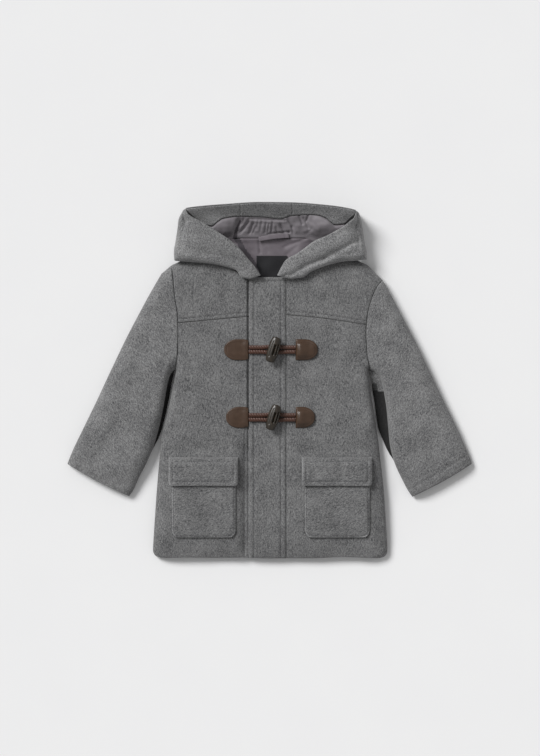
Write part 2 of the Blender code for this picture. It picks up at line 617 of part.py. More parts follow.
def hood_side_path(row):
    """Outer and inner path of one section, from the face opening over the fold to what it rests on."""
    rim, fold = Vector((row.rim_x, row.rim_y)), Vector((row.fold_x, row.fold_y))
    length = (fold - rim).length
    direction = (fold - rim).normalized()
    wide = min(FOLD_ROUND, length * 0.55)
    wide = max(wide, row.wall + 1.5)
    low_wide = row.wall + TAIL
    foot = [rim + direction * (length - low_wide + side) for side in (-1.2, 1.2)]
    base = max(coat_surface(*p) for p in foot) + 1.7 * LAID if row.base is ON_COAT else row.base
    middle = mix(base, row.fold_z, 0.45)
    tall_in = max(row.fold_z - row.wall - middle, 0.4)
    flat = length - wide

    def top(s):
        return mix(row.rim_z, row.fold_z, clamp(s / flat)) + 1.5 * math.sin(math.pi * clamp(s / flat))

    def wall(s):
        return mix(RIM_WALL, row.wall, smooth(s / 16.0))

    start = min(1.4, flat * 0.2)
    outer = [(0.0, row.rim_z - 1.5), (start, row.rim_z)] + [(s, top(s)) for s in (flat * k for k in (0.3, 0.55, 0.8, 1.0))]
    inner = [(0.0, row.rim_z - RIM_WALL + 1.2), (start, row.rim_z - RIM_WALL)]
    inner += [(s, top(s) - wall(s)) for s in (flat * k for k in (0.3, 0.55, 0.8, 1.0))]
    for k in range(1, 5):
        turn = math.pi / 2 * k / 4
        outer.append((flat + wide * math.sin(turn), mix(middle, row.fold_z, math.cos(turn))))
        inner.append((flat + (wide - row.wall) * math.sin(turn), middle + tall_in * math.cos(turn)))
    drop = middle - base
    for k in range(1, 4):
        turn = math.pi / 2 * k / 3
        outer.append((length - low_wide * (1 - math.cos(turn)), middle - drop * math.sin(turn)))
        inner.append((length - row.wall - TAIL * (1 - math.cos(turn)), middle - drop * math.sin(turn)))
    inner[-1] = (length - low_wide - 1.2, base)
    outer[-1] = (length - low_wide + 1.2, base)
    place = lambda s, z: (*(rim + direction * s), z)
    return tuple([place(s, z) for s, z in path] for path in (outer, inner))


def make_hood_side(name, rows):
    sections = [hood_side_path(row) for row in rows]
    wall_solid(name, [s[0] for s in sections], [s[1] for s in sections], "wool_flannel")


def hood_inside(x, y):
    """Inside surface of the opened hood, from the back neck seam up to its far edge."""
    front = line_value(CROWN_FRONT, clamp(x, -103, 103)) - 2.3
    far = line_value(HOOD_TOP, x) - FAR_EDGE
    share = clamp((y - front) / (far - front))
    height = NECK_Z + (RIM_Z - NECK_Z) * (0.45 * share + 0.55 * share * share)
    return height + puff(x, y) * (1 - smooth((share - 0.6) / 0.3))


def puff(x, y):
    return sum(p.height * math.exp(-((x - p.x) / p.radius_x) ** 2 - ((y - p.y) / p.radius_y) ** 2) for p in PUFFS)


def gather(x, y):
    """Pleats drawn up by elastic, deepest in the middle of their band."""
    share = (x - GATHER_FROM) / (GATHER_TO - GATHER_FROM)
    if not 0 <= share <= 1:
        return 0.0
    front, far = 185.0, line_value(FACING_FRONT, x)
    band = math.sin(math.pi * clamp(mix(0.12, 0.88, (y - front) / (far - front))))
    return GATHER_DEPTH * band * math.sin(2 * math.pi * GATHERS * share)


def make_crown():
    """The hood's folded layers: one rounded solid with layered edges along its far side."""
    rings = []
    for x in CROWN_STATIONS:
        near = line_value(CROWN_FRONT, x)
        far = line_value(HOOD_TOP, x)
        rounding = dome(min(x - CROWN_STATIONS[0], CROWN_STATIONS[-1] - x), 9.0)
        tall = mix(0.94, 1.0, rounding)
        edge = min(FAR_EDGE, 0.42 * (far - near))
        slope = [mix(near, far - edge, k / 6) for k in range(7)]
        top = [(y, (hood_inside(x, y) - INSIDE_UNDER) * tall + 0.4 * math.sin(math.pi * k / 6))
               for k, y in enumerate(slope)]
        rim = (RIM_Z - 1.0) * tall
        back = [(far - edge * 0.7, rim - 0.8)]
        for k in range(13):
            layer = 2 * (k / 4 % 1) - 1
            back.append((far - 0.6 * edge * rounding * (1 - math.sqrt(1 - layer ** 2)), rim * (1 - k / 12)))
        ring = top + back + [(mix(far, near, 0.5), 0.0), (mix(far, near, 0.95), 0.0), (near, 0.8)]
        rings.append([(x, y, z) for y, z in ring])
    ring_solid("hood_crown", rings, "wool_flannel")


def make_facing():
    pieces = {"hood_facing_left": (-105.4, HOOD_SEAM_LEFT - SEAM / 2, 14),
              "hood_facing_centre": (HOOD_SEAM_LEFT + SEAM / 2, HOOD_SEAM_RIGHT - SEAM / 2, 8),
              "hood_facing_right": (HOOD_SEAM_RIGHT + SEAM / 2, 109.8, 18)}
    for name, (start, stop, count) in pieces.items():
        plan = []
        for k in range(6):
            row = []
            for n in range(count + 1):
                x = mix(start, stop, n / count)
                row.append((x, mix(line_value(FACING_FRONT, x) + 2 * SEAM, line_value(HOOD_TOP, x) - FAR_EDGE, k / 5)))
            plan.append(row)
        panel(name, plan, hood_inside, lambda x, y: hood_inside(x, y) - FACING_CLOTH, "wool_flannel")


def make_lining():
    gathered = [mix(GATHER_FROM, GATHER_TO, k / (GATHERS * 4)) for k in range(GATHERS * 4 + 1)]
    columns = [-98.0, -90.0, -82.0, -75.0, -68.0, -61.0, -54.0, -48.0] + gathered
    columns += [60.0, 66.0, 71.0, 76.0, 81.0, 86.0, 91.0, 97.0]
    near = lambda x: line_value(CROWN_FRONT, x) - NECK_OVERLAP * smooth((56.0 - abs(x)) / 8.0)
    plan = [[(x, mix(near(x), line_value(FACING_FRONT, x) - SEAM, k / 6)) for x in columns] for k in range(7)]
    panel("hood_lining", plan, lambda x, y: hood_inside(x, y) + gather(x, y),
          lambda x, y: hood_inside(x, y) + gather(x, y) - LINING_CLOTH, "lining")


def neck_surface(x, y):
    """Lining over the back neck, lying on the back and rising to the hood's seam."""
    rise = smooth((y - 150.0) / 35.0) * 2.0
    return body_at(y).wall + 2.0 + rise + puff(x, y) * smooth((y - 136.0) / 14.0)


def make_neck_lining():
    columns = [-50.0, -44.0, -38.0, -30.0, -20.0, -8.0, 4.0, 16.0, 26.0, 34.0, 42.0, 50.0]
    rows = [120.0, 128.0, 136.0, 144.0, 153.0, 162.0, 171.0, 179.0, 184.6]
    plan = [[(x * mix(0.55, 1.0, smooth((y - 128) / 30)), y) for x in columns] for y in rows]
    panel("neck_lining", plan, neck_surface, lambda x, y: back_inside(x, y) + LAID, "lining")


def make_label():
    plan = [[(x, y) for x in (-17.2, -7.0, 3.0, 13.0, 22.5)] for y in (134.0, 141.0, 148.0, 155.0, 161.9)]
    panel("neck_label", plan, lambda x, y: neck_surface(x, y) + LAID + 1.1, lambda x, y: neck_surface(x, y) + LAID + 0.2,
          "label_weave")


def make_hang_loop():
    """Narrow strip sewn at both ends on the back neck seam and bowed clear in the middle."""
    start, stop, width, cloth, bow = Vector((-14.4, 183.5)), Vector((24.5, 188.0)), 6.0, 1.2, 1.6
    count = 8
    across = Vector((-(stop - start).y, (stop - start).x)).normalized() * width / 2
    top, under = [], []
    for k in range(count + 1):
        middle = start.lerp(stop, k / count)
        bow_here = bow * math.sin(math.pi * k / count)
        samples = [middle + across * s for s in (-1, -0.5, 0, 0.5, 1)]
        base = max(max(lining_surface(p.x, p.y) for p in samples), 0) + 2 * LAID + bow_here
        row = [middle - across, middle, middle + across]
        under.append([(*p, base) for p in row])
        top.append([(*p, base + cloth) for p in row])
    wall_solid("hang_loop", top, under, "lining")


def lining_surface(x, y):
    return max(neck_surface(x, min(y, 184.6)), hood_inside(x, y) + gather(x, y) if y > 186 else 0.0)


# ---------------------------------------------------------------- pockets, patches and fasteners

def rounded_plan(left, right, bottom, top, corner, columns=8, rows=8):
    """Rectangle whose two lower corners are arcs of the given radius."""
    levels = [bottom + corner * (1 - math.cos(math.pi / 2 * k / 3)) for k in range(3)]
    levels += [mix(bottom + corner, top, k / (rows - 3)) for k in range(rows - 2)]
    plan = []
    for y in levels:
        below = clamp((bottom + corner - y) / corner)
        inset = corner * (1 - math.sqrt(1 - below ** 2)) * 0.96
        plan.append([(mix(left + inset, right - inset, k / columns), y) for k in range(columns + 1)])
    return plan


def make_pocket(side, left, right):
    surface = lambda x, y: front_outside(x, y, side == "left")
    bag = rounded_plan(left + 5.5, right - 2.4, -203.0, -112.5, 9.0)
    puffed = lambda x, y: POCKET_CLOTH + 0.8 * dome(min(x - left - 5.0, right - 1.9 - x), 12.0)
    panel(f"pocket_{side}", bag, lambda x, y: surface(x, y) + 1.5 * LAID + puffed(x, y),
          lambda x, y: surface(x, y) + 1.5 * LAID, "wool_flannel")
    flap = rounded_plan(left, right, -137.0, -99.5, 3.0, 8, 7)
    over = lambda x, y: surface(x, y) + 2 * LAID + (POCKET_CLOTH + 1.3) * smooth((-99.5 - y) / 12.0)
    panel(f"pocket_flap_{side}", flap, lambda x, y: over(x, y) + POCKET_CLOTH, over, "wool_flannel")


def cord_height():
    return body_at(0).height + 0.6 + LAID + CORD_RADIUS


def make_patch(name, straight, far, middle_y, surface):
    """Leather half-round: straight at the placket, round outside, raised over the cord it holds."""
    direction = 1 if far > straight else -1
    length = abs(far - straight)
    columns = [0.0, 0.12, 0.3, 0.5, 0.68, 0.82, 0.92, 0.975]
    plan = []
    for share in columns:
        x = straight + direction * length * share
        turned = clamp((length * share - (length - PATCH_HALF_HEIGHT)) / PATCH_HALF_HEIGHT)
        half = PATCH_HALF_HEIGHT * math.sqrt(1 - turned ** 2)
        plan.append([(x, middle_y + half * k / 4) for k in range(-4, 5)])

    def top(x, y):
        near = smooth(1 - abs(x - straight) / 12.0) * smooth(1.6 - abs(y - middle_y) / 6.5)
        return max(surface(x, y) + LAID + LEATHER, mix(surface(x, y) + LAID + LEATHER, cord_height() + 2.4, near))

    panel(name, plan, top, lambda x, y: surface(x, y) + LAID, "leather")


def make_cord(name, start_x, turn_x, middle_y):
    """Two strands joined by a turn under the toggle."""
    direction = 1 if turn_x > start_x else -1
    z = cord_height()
    straight = 5
    points = [(mix(start_x, turn_x, k / straight), middle_y - STRAND_OFFSET, z) for k in range(straight + 1)]
    for k in range(1, 5):
        turn = math.pi * k / 5
        points.append((turn_x + direction * STRAND_OFFSET * math.sin(turn), middle_y - STRAND_OFFSET * math.cos(turn), z))
    points += [(mix(turn_x, start_x, k / straight), middle_y + STRAND_OFFSET, z) for k in range(straight + 1)]
    curve = bpy.data.curves.new(name, "CURVE")
    curve.dimensions = "3D"
    curve.bevel_depth = CORD_RADIUS * MM
    curve.bevel_resolution = 2
    curve.use_fill_caps = True
    curve.render_resolution_u = 0
    spline = curve.splines.new("POLY")
    spline.points.add(len(points) - 1)
    for place, point in zip(spline.points, points):
        place.co = (*(Vector(point) * MM), 1.0)
    curve.materials.append(material("leather_cord"))
    bpy.context.collection.objects.link(bpy.data.objects.new(name, curve))


def make_toggle(name, middle_y):
    """Horn toggle: a tapered barrel, a little flattened, lying across the cords."""
    axis = Vector((math.sin(TOGGLE_TILT), math.cos(TOGGLE_TILT), 0))
    side = Vector((axis.y, -axis.x, 0))
    bottom = cord_height() + CORD_RADIUS + LAID
    middle = Vector((TOGGLE_X, middle_y, bottom + TOGGLE_SECTIONS[3][2] / 2))
    rings = []
    for share, width, height in TOGGLE_SECTIONS:
        centre = middle + axis * TOGGLE_LENGTH * share
        rings.append([tuple(centre + side * width / 2 * math.cos(a) + Vector((0, 0, height / 2 * math.sin(a))))
                      for a in (2 * math.pi * k / 12 for k in range(12))])
    ring_solid(name, rings, "horn")


def make_fasteners():
    for f in FASTENERS:
        flat = lambda x, y: body_top(x, y) - 0.3 * PLACKET_SINK * body_at(y).height * sink_share(x)
        make_patch(f"patch_{f.name}_left", LEFT_PATCH_EDGE, f.left_from, f.y, flat)
        make_patch(f"patch_{f.name}_right", RIGHT_PATCH_EDGE, f.right_to, f.y, body_top)
        make_cord(f"loop_cord_{f.name}", LEFT_PATCH_EDGE + SEAM, TOGGLE_X - 6.0, f.y)
        make_cord(f"toggle_cord_{f.name}", RIGHT_PATCH_EDGE - SEAM, TOGGLE_X + 6.0, f.y)
        make_toggle(f"toggle_{f.name}", f.y)


def main():
    for old in list(bpy.data.objects):
        bpy.data.objects.remove(old, do_unlink=True)
    make_back()
    make_fronts()
    make_yokes()
    make_placket()
    make_sleeve("sleeve_left", SLEEVE_LEFT, LEFT, -1)
    make_sleeve("sleeve_right", SLEEVE_RIGHT, RIGHT, 1)
    make_hood_side("hood_side_left", HOOD_LEFT)
    make_hood_side("hood_side_right", HOOD_RIGHT)
    make_crown()
    make_facing()
    make_lining()
    make_neck_lining()
    make_label()
    make_hang_loop()
    make_pocket("left", -131.3, -41.0)
    make_pocket("right", 41.6, 132.9)
    make_fasteners()


main()
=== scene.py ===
"""A toddler's hooded duffle coat of grey wool flannel, fastened and laid flat on a pale floor.

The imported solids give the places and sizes. Each class below makes one sub-assembly of the coat as a
maker would sew it: fine cloth shells that follow the solids' form, with their folds, turned edges,
topstitching, gathered lining, leather patches, cords and horn toggles. Tables are in millimetres, in
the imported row's frame: +X is the viewer's right, +Y runs from hem to hood, and the floor is z = 0.
"""
from __future__ import annotations

import logging
import math
from dataclasses import dataclass, field
from enum import Enum
from typing import Callable, NamedTuple, Sequence

import bpy
import numpy as np
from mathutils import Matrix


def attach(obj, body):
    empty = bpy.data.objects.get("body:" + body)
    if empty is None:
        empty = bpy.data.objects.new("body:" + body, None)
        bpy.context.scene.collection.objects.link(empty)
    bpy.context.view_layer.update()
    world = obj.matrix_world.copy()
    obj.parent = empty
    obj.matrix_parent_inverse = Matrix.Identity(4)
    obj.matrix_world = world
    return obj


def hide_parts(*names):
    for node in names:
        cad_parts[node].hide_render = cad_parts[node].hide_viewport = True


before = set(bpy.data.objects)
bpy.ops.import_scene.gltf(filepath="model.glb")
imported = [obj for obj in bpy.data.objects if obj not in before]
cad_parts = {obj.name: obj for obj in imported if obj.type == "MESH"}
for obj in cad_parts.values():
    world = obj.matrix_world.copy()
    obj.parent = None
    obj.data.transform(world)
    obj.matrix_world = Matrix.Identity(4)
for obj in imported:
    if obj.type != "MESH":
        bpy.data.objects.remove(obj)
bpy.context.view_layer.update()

LOG = logging.getLogger("duffle_coat")
Array = np.ndarray
Piece = bpy.types.Object
Nodes = bpy.types.NodeTree
Socket = bpy.types.NodeSocket
Number = float | Array
Point = tuple[float, float]
Height = Callable[[Array, Array], Array]
Chosen = Callable[[Array, Array, Array], Array]

MM = 0.001
TURN, QUARTER = 2 * math.pi, math.pi / 2
UPWARD = np.array([0.0, 0.0, 1.0])
SEAM_GAP = 0.3
ARMHOLE_GAP = 0.5
LAID_GAP = 0.3
HEM_Y = -231.0
CLOTH_STEP = 2.4           # spacing of a cloth mesh's points away from its edges
PLACKET_LEFT, PLACKET_RIGHT, PLACKET_TOP = -27.0, 21.0, 134.0
SINK_START = -44.0         # x where the left front starts to sink towards the placket
SINK_SHARE = 0.21          # how far it sinks, as a share of the height
EXTENSION_SHARE = 0.55     # wall of the left front under the placket, as a share of the wall
STEEP_ROUND = 0.36         # share of the usual rounding where the body's side faces a sleeve
STEEP_MIDDLE, STEEP_HALF = -20.0, 34.0
WEB_Z, LEDGE_Z = 7.4, 2.8  # height of a sleeve's under layer at the armpit and beside the body
UNDER_FULL = 9.45          # height that the under layer's sections are drawn for


# ---------------------------------------------------------------- tables of the coat's form

def rows_of(kind: type, *rows: tuple) -> tuple:
    """Rows of a table, each with the kind's named columns."""
    return tuple(kind(*row) for row in rows)


class BodyRow(NamedTuple):
    """One level of the laid body: its two sides, its height and the wall of padded cloth."""

    y: float
    left: float
    right: float
    height: float
    wall: float


BODY_ROWS = rows_of(BodyRow,
    (-231, -142, 142.5, 11, 4.2), (-228.5, -148.8, 149.8, 12, 4.6),
    (-222, -152, 153, 14, 5.4), (-205, -151.2, 152.4, 17.5, 7.1), (-178, -149.4, 150.6, 20, 8.4),
    (-148, -147.3, 148.7, 21, 8.9), (-108, -144, 144.4, 21.4, 9), (-71, -140.1, 140.1, 21.4, 9),
    (-44, -133.4, 136, 21.4, 9), (-18, -127.9, 132, 21.4, 9), (14, -121.9, 128.8, 21.4, 9),
    (35, -119.6, 126.3, 21.4, 9), (60, -118.8, 124.8, 21.4, 9), (87, -119.7, 127, 21.2, 8.9),
    (105, -122.6, 131.8, 21, 8.8), (122, -124.5, 139.2, 20.8, 8.7), (131, -125.4, 146, 20.6, 8.6),
    (150, -127, 127, 20, 8.3), (166, -92, 90, 18.6, 7.7), (186, -48, 48, 17, 7),
)


class Corners(NamedTuple):
    """Plan points where an armhole begins and ends."""

    underarm: Point
    tip: Point


LEFT = Corners((-121.9, 14), (-127, 150))
RIGHT = Corners((128.8, 14), (146, 131))
SHOULDER_LEFT = (LEFT.tip, (-72, 175))
SHOULDER_RIGHT = (RIGHT.tip, (127, 150), (72, 175))
YOKE_SEAM_LEFT = ((-118.4, 74.5), (-70, 79), (-26, 82.8), (20.7, 84.5))
YOKE_SEAM_RIGHT = ((21.3, 85.2), (70, 80.5), (125.5, 72.2))
NECKLINE_LEFT = ((-72, 175), (-62, 160), (-47, 144), (-30, 134.5), (-10, 132.5),
                 (20.7, 132))
NECKLINE_RIGHT = ((21.3, 133), (32, 136), (47, 145), (62, 160), (72, 175))
BACK_TOP = ((-127, 150), (-72, 175), (-48, 185), (48, 185), (72, 175), (127, 150),
            (146, 131))


class Fold(NamedTuple):
    """A soft trough along a line in plan, or a ridge where its depth is negative."""

    x0: float
    y0: float
    x1: float
    y1: float
    width: float
    depth: float


FOLDS = rows_of(Fold,
    # drag below the hood's corner
    (-69, 146, -34, 103, 8, 1.9), (-84, 139, -50, 92, 10, -0.5),
    # below the shoulders
    (-112, 132, -96, 96, 12, 0.7), (104, 132, 84, 100, 12, 0.6),
    # above the pocket flaps
    (-122, -91, -44, -88, 6.5, 1.3), (44, -93, 124, -90, 6.5, 1.4), (-106, -74, -58, -70, 9, -0.5),
    (58, -76, 108, -72, 9, -0.5),
    # down the right sleeve
    (152, 80, 186, 22, 9, 2), (147, 66, 176, 16, 6, -0.5), (146, 45, 172, 8, 7, 1.3),
    (196, 62, 222, -6, 12, 0.7),
    # down the left sleeve, and low on the right one
    (-150, 88, -168, 38, 10, 1.5), (-166, 96, -184, 48, 9, -0.4), (-196, -60, -222, -96, 12, 1.6),
    (-158, 4, -186, -34, 10, 0.7), (-176, 30, -222, -60, 16, -0.5), (206, -70, 216, -112, 11, 1.5),
    # from the underarms
    (-112, 40, -84, -6, 10, 1.4), (118, 36, 92, -8, 10, 1.4), (-100, 6, -66, -30, 12, -0.4),
    (104, 4, 74, -34, 12, -0.4),
    # at the sides and above the hem
    (-140, -160, -128, -222, 9, 0.6), (140, -150, 146, -214, 9, 0.7),
    (-92, -212, -58, -228, 10, 0.6), (72, -210, 104, -228, 11, 0.5),
    # beside the placket, and on the chest
    (-31, -62, -31.5, -228, 2.6, 2), (-33, -92, -33, -222, 5.5, 2.4), (-41, -110, -42, -214, 5, -0.4),
    (58, 40, 96, 12, 12, 0.5),
)


class SleeveRow(NamedTuple):
    """One station of a laid sleeve; reach is how far its under layer shows past the inner edge."""

    outer_x: float
    outer_y: float
    inner_x: float
    inner_y: float
    height: float
    wall: float
    reach: float


SLEEVE_LEFT = rows_of(SleeveRow,
    (-141, 138.5, -127.8, 11, 21.6, 9, 4), (-153.5, 117, -132.2, -1, 22.4, 9.4, 6),
    (-168.5, 89.5, -135.5, -17, 22.6, 9.5, 6.3), (-187.5, 53, -139.6, -40, 22.6, 9.5, 5.6),
    (-208.4, 9.2, -145, -64, 22.4, 9.4, 5), (-226.5, -29.5, -152.5, -88.5, 22, 9.2, 2.6),
    (-243.5, -64.5, -162.3, -111.7, 20.5, 8.5, 0.3), (-254, -86, -171.5, -129.5, 18, 7.4, 0),
    (-259.6, -98.6, -177.3, -142.6, 15, 6, 0), (-263.5, -108.8, -183, -151, 12.6, 4.9, 0),
)
SLEEVE_RIGHT = rows_of(SleeveRow,
    (153.4, 119, 136, 11.5, 21.6, 9, 5.4), (163, 100.5, 144.4, 2, 22.4, 9.4, 12.6),
    (176.5, 75, 149, -16, 22.6, 9.5, 15.6), (193.5, 42, 152.4, -38, 22.6, 9.5, 15.6),
    (209, 9.5, 154.4, -60, 22.4, 9.4, 14.4), (226, -27, 156.6, -83, 22, 9.2, 7.8),
    (241.5, -58, 163, -108.5, 20.5, 8.5, 1.6), (252, -81, 173, -130.5, 18, 7.4, 0),
    (258.9, -97, 180, -143.6, 15, 6, 0), (263.5, -108.4, 185.6, -151.6, 12.6, 4.9, 0),
)


class HoodRow(NamedTuple):
    """One section across a hood side, from the face opening over the fold to what it rests on."""

    rim_x: float
    rim_y: float
    rim_z: float
    fold_x: float
    fold_y: float
    fold_z: float
    base: float
    wall: float


ON_COAT = -1.0             # the base of a section that lies on the coat, not at a height of its own
HOOD_LEFT = rows_of(HoodRow,
    (-11.5, 136, 31, -26, 131, 30, ON_COAT, 4.6),
    (-19, 147, 34, -37, 134, 32, ON_COAT, 6),
    (-28, 157.5, 37, -43, 142, 33.5, ON_COAT, 7.6),
    (-39, 170.5, 39.5, -57, 147, 34, ON_COAT, 8.6),
    (-51.5, 181.6, 41.5, -73, 150.6, 34.5, ON_COAT, 9),
    (-64, 190, 43, -90.5, 152.6, 34.5, ON_COAT, 9),
    (-75.5, 197.3, 44, -108, 153.8, 34, 12, 9),
    (-84.5, 202.6, 44.6, -124, 156, 32, 4, 9),
    (-91.5, 206.5, 44.8, -124.6, 167, 31.5, 0, 9),
    (-97, 209.5, 44.8, -122.4, 181.5, 32, 0, 8.4),
    (-101.5, 212, 44.4, -120, 197, 33.5, 0, 7.2),
    (-105.8, 215.6, 44, -118.6, 208.4, 36, 0, 5),
    (-108.9, 222.3, 43, -113.2, 219.6, 38.5, 0, 3),
)
HOOD_RIGHT = rows_of(HoodRow,
    (9.5, 136, 31, 26, 131.4, 30, ON_COAT, 4.6),
    (14.5, 146, 34, 43, 133.4, 32, ON_COAT, 6),
    (21.5, 156.5, 37, 52, 139.8, 33.5, ON_COAT, 7.6),
    (34, 163.4, 39.5, 67, 146.6, 34, ON_COAT, 8.6),
    (46, 171.8, 41.5, 83, 151.4, 34.5, ON_COAT, 9),
    (58, 180.6, 43, 98, 154.4, 34.5, ON_COAT, 9),
    (71, 186, 44, 113, 155.4, 34, 12, 9), (84, 192.6, 44.6, 126.4, 157.4, 32, 4, 9),
    (93, 197.8, 44.8, 125.8, 168, 31.5, 0, 9), (99.5, 202.4, 44.8, 123.2, 180, 32, 0, 8.4),
    (104, 206.4, 44.4, 121.2, 194, 33.5, 0, 7.2),
    (108.4, 209.8, 44, 119.6, 204.8, 36, 0, 5),
    (111.9, 219.4, 43, 116.2, 216.6, 38.5, 0, 3),
)
HOOD_TOP = ((-117, 216.5), (-110, 222.5), (-100, 224.6), (-60, 228.2), (-12, 231), (26, 230.6),
            (78, 226.7), (105, 222.4), (113.5, 219.2), (119.5, 213))
CROWN_END = 103.0          # x where the front of the folded layers turns up into the hood's sides
CROWN_FRONT = ((-108.6, 218), (-107.4, 214), (-105.4, 197), (-CROWN_END, 168.5), (-72, 178.5),
               (-50, 187.8), (50, 187.8), (72, 178.5), (CROWN_END, 168.5), (107.6, 194),
               (110.2, 209), (111.6, 213))
FACING_FRONT = ((-106, 217.9), (-103, 214.6), (-95, 207), (-85, 201), (-75, 199.5),
                (-68, 204.8), (-60, 209.6), (-40, 212.2), (-8, 211.3), (14.7, 209), (25, 212.6),
                (50, 214.4), (62, 213.6), (73, 209.6), (85, 201), (96, 202), (105, 209.6),
                (110.5, 213.6))


class Puff(NamedTuple):
    """A place where the lining billows."""

    x: float
    y: float
    radius_x: float
    radius_y: float
    height: float


PUFFS = rows_of(Puff,
    (-59, 197, 17, 15, 5), (66, 198, 22, 14, 5.5), (-84, 190, 14, 16, 2.5), (88, 186, 14, 16, 2.5),
    (-38, 166, 10, 20, 4.5), (40, 162, 11, 18, 4.5),
)
LINING_PLEATS = rows_of(Fold,          # drawn up along the facing, fanning out towards the neck
    (-40, 207, -44.5, 186, 3, 4.6), (-27.6, 206, -39.1, 191, 1.9, 3.4),
    (-33.5, 210, -36, 203, 1.6, 1.6), (-21.5, 204, -28, 186, 1.7, 2.8),
    (-18.6, 199, -24, 186, 1.4, 1.7), (-15, 207, -17, 196, 1.2, 1.1),
    (-10.5, 205, -12.5, 193, 1.5, 1.3), (-4.8, 204, -6.4, 192, 1.2, 1.5),
    (-1, 203, -2.6, 193, 1.1, 1.3), (3.6, 205, 2, 192, 1.2, 1.6), (8.4, 199, 9.6, 190, 1.4, 1.4),
    (14, 202, 19.6, 191.5, 1.8, 3), (22.6, 212, 29.2, 199.5, 1.7, 2.4),
    (29.2, 199.5, 31.2, 189, 1.6, 1.7), (38, 214, 42.6, 203, 1.7, 2.6), (44, 210, 50.5, 198, 1.6, 2),
    (50, 214, 47.8, 207, 1.5, 3), (-27, 209.6, 20, 207.4, 1.1, 1.6), (-25, 206, 18, 204.6, 1.2, -0.5),
    (-2, 189.6, 25, 192.6, 1.5, 4.4), (54, 196, 44, 186, 2.4, 1.6), (32, 187.6, 49, 187.2, 1.5, 1.6),
    (-40, 183, -16, 183, 1.4, 1.2),
)


# ---------------------------------------------------------------- numbers and curves

def mix(a: Number, b: Number, t: Number) -> Number:
    """Straight line from a to b."""
    return a + (b - a) * t


def smooth(t: Number) -> Number:
    """Soft step from 0 to 1."""
    t = np.clip(t, 0.0, 1.0)
    return t * t * (3 - 2 * t)


def dome(distance: Number, width: Number) -> Number:
    """Quarter of an ellipse: 0 at a folded edge, 1 from the width inwards."""
    return np.sqrt(1 - (1 - np.clip(distance / width, 0.0, 1.0)) ** 2)


def bell(distance: Number, width: Number) -> Number:
    """1 on a line, falling off to both sides over the width."""
    return np.exp(-((distance / width) ** 2))


class Table:
    """Rows of named columns that are read between rows without overshoot."""

    def __init__(self, rows: Sequence[NamedTuple], key: str | None = None) -> None:
        """Args:
            rows: NamedTuples of one kind.
            key: the rising column to read by, or None to read by the row's number.
        """
        self.names = rows[0]._fields
        self.data = np.array(rows, float)
        self.keys = np.arange(len(rows), dtype=float) if key is None else self.data[:, self.names.index(key)]
        steps = np.diff(self.data, axis=0) / np.diff(self.keys)[:, None]
        before, after = steps[:-1], steps[1:]
        total = np.where(before * after > 0, before + after, 1.0)
        inner = np.where(before * after > 0, 2 * before * after / total, 0.0)
        self.slopes = np.vstack([steps[:1], inner, steps[-1:]])

    def read(self, name: str, at: Array) -> Array:
        """Value of one column between the rows.

        Args:
            name: the column.
            at: places along the key.

        Returns:
            A value for each place.
        """
        column = self.names.index(name)
        value, slope = self.data[:, column], self.slopes[:, column]
        at = np.clip(at, self.keys[0], self.keys[-1])
        i = np.clip(np.searchsorted(self.keys, at, side="right") - 1, 0, len(self.keys) - 2)
        width = self.keys[i + 1] - self.keys[i]
        t = (at - self.keys[i]) / width
        return ((1 + 2 * t) * (1 - t) ** 2 * value[i] + t * (1 - t) ** 2 * width * slope[i]
                + t * t * (3 - 2 * t) * value[i + 1] + t * t * (t - 1) * width * slope[i + 1])


class PlanPoint(NamedTuple):
    """A point seen from above."""

    x: float
    y: float


def outline(points: Sequence[Point]) -> Callable[[Array], Array]:
    """Height y of a smooth outline at any x."""
    table = Table([PlanPoint(*p) for p in points], "x")
    return lambda x: table.read("y", np.asarray(x, float))


def path_points(points: Sequence[Point], shares: Array) -> Array:
    """Points along straight runs.

    Args:
        points: the corners that the runs join.
        shares: shares of the whole length, from 0 to 1.

    Returns:
        A point for each share.
    """
    points = np.array(points, float)
    lengths = np.r_[0.0, np.cumsum(np.linalg.norm(np.diff(points, axis=0), axis=1))]
    at = np.asarray(shares) * lengths[-1]
    return np.stack([np.interp(at, lengths, points[:, k]) for k in range(points.shape[1])], -1)


def line_distance(x: Array, y: Array, points: Sequence[Point]) -> Array:
    """Distance in plan from places to straight runs.

    Args:
        x, y: the places.
        points: the corners that the runs join.

    Returns:
        A distance for each place.
    """
    best = np.full(np.shape(x), np.inf)
    for (ax, ay), (bx, by) in zip(points, points[1:]):
        dx, dy = bx - ax, by - ay
        share = np.clip(((x - ax) * dx + (y - ay) * dy) / (dx * dx + dy * dy), 0, 1)
        best = np.minimum(best, np.hypot(x - ax - share * dx, y - ay - share * dy))
    return best


def fold_depth(x: Array, y: Array, folds: Sequence[Fold]) -> Array:
    """Depth of all the folds together.

    Args:
        x, y: places in plan.
        folds: troughs and ridges.

    Returns:
        A depth for each place, negative on a ridge.
    """
    total = np.zeros(np.shape(x))
    for f in folds:
        total = total + f.depth * bell(line_distance(x, y, ((f.x0, f.y0), (f.x1, f.y1))), f.width)
    return total


def billow(x: Array, y: Array, puffs: Sequence[Puff]) -> Array:
    """Height of all the puffs together at a place."""
    return sum(p.height * np.exp(-((x - p.x) / p.radius_x) ** 2 - ((y - p.y) / p.radius_y) ** 2)
               for p in puffs)


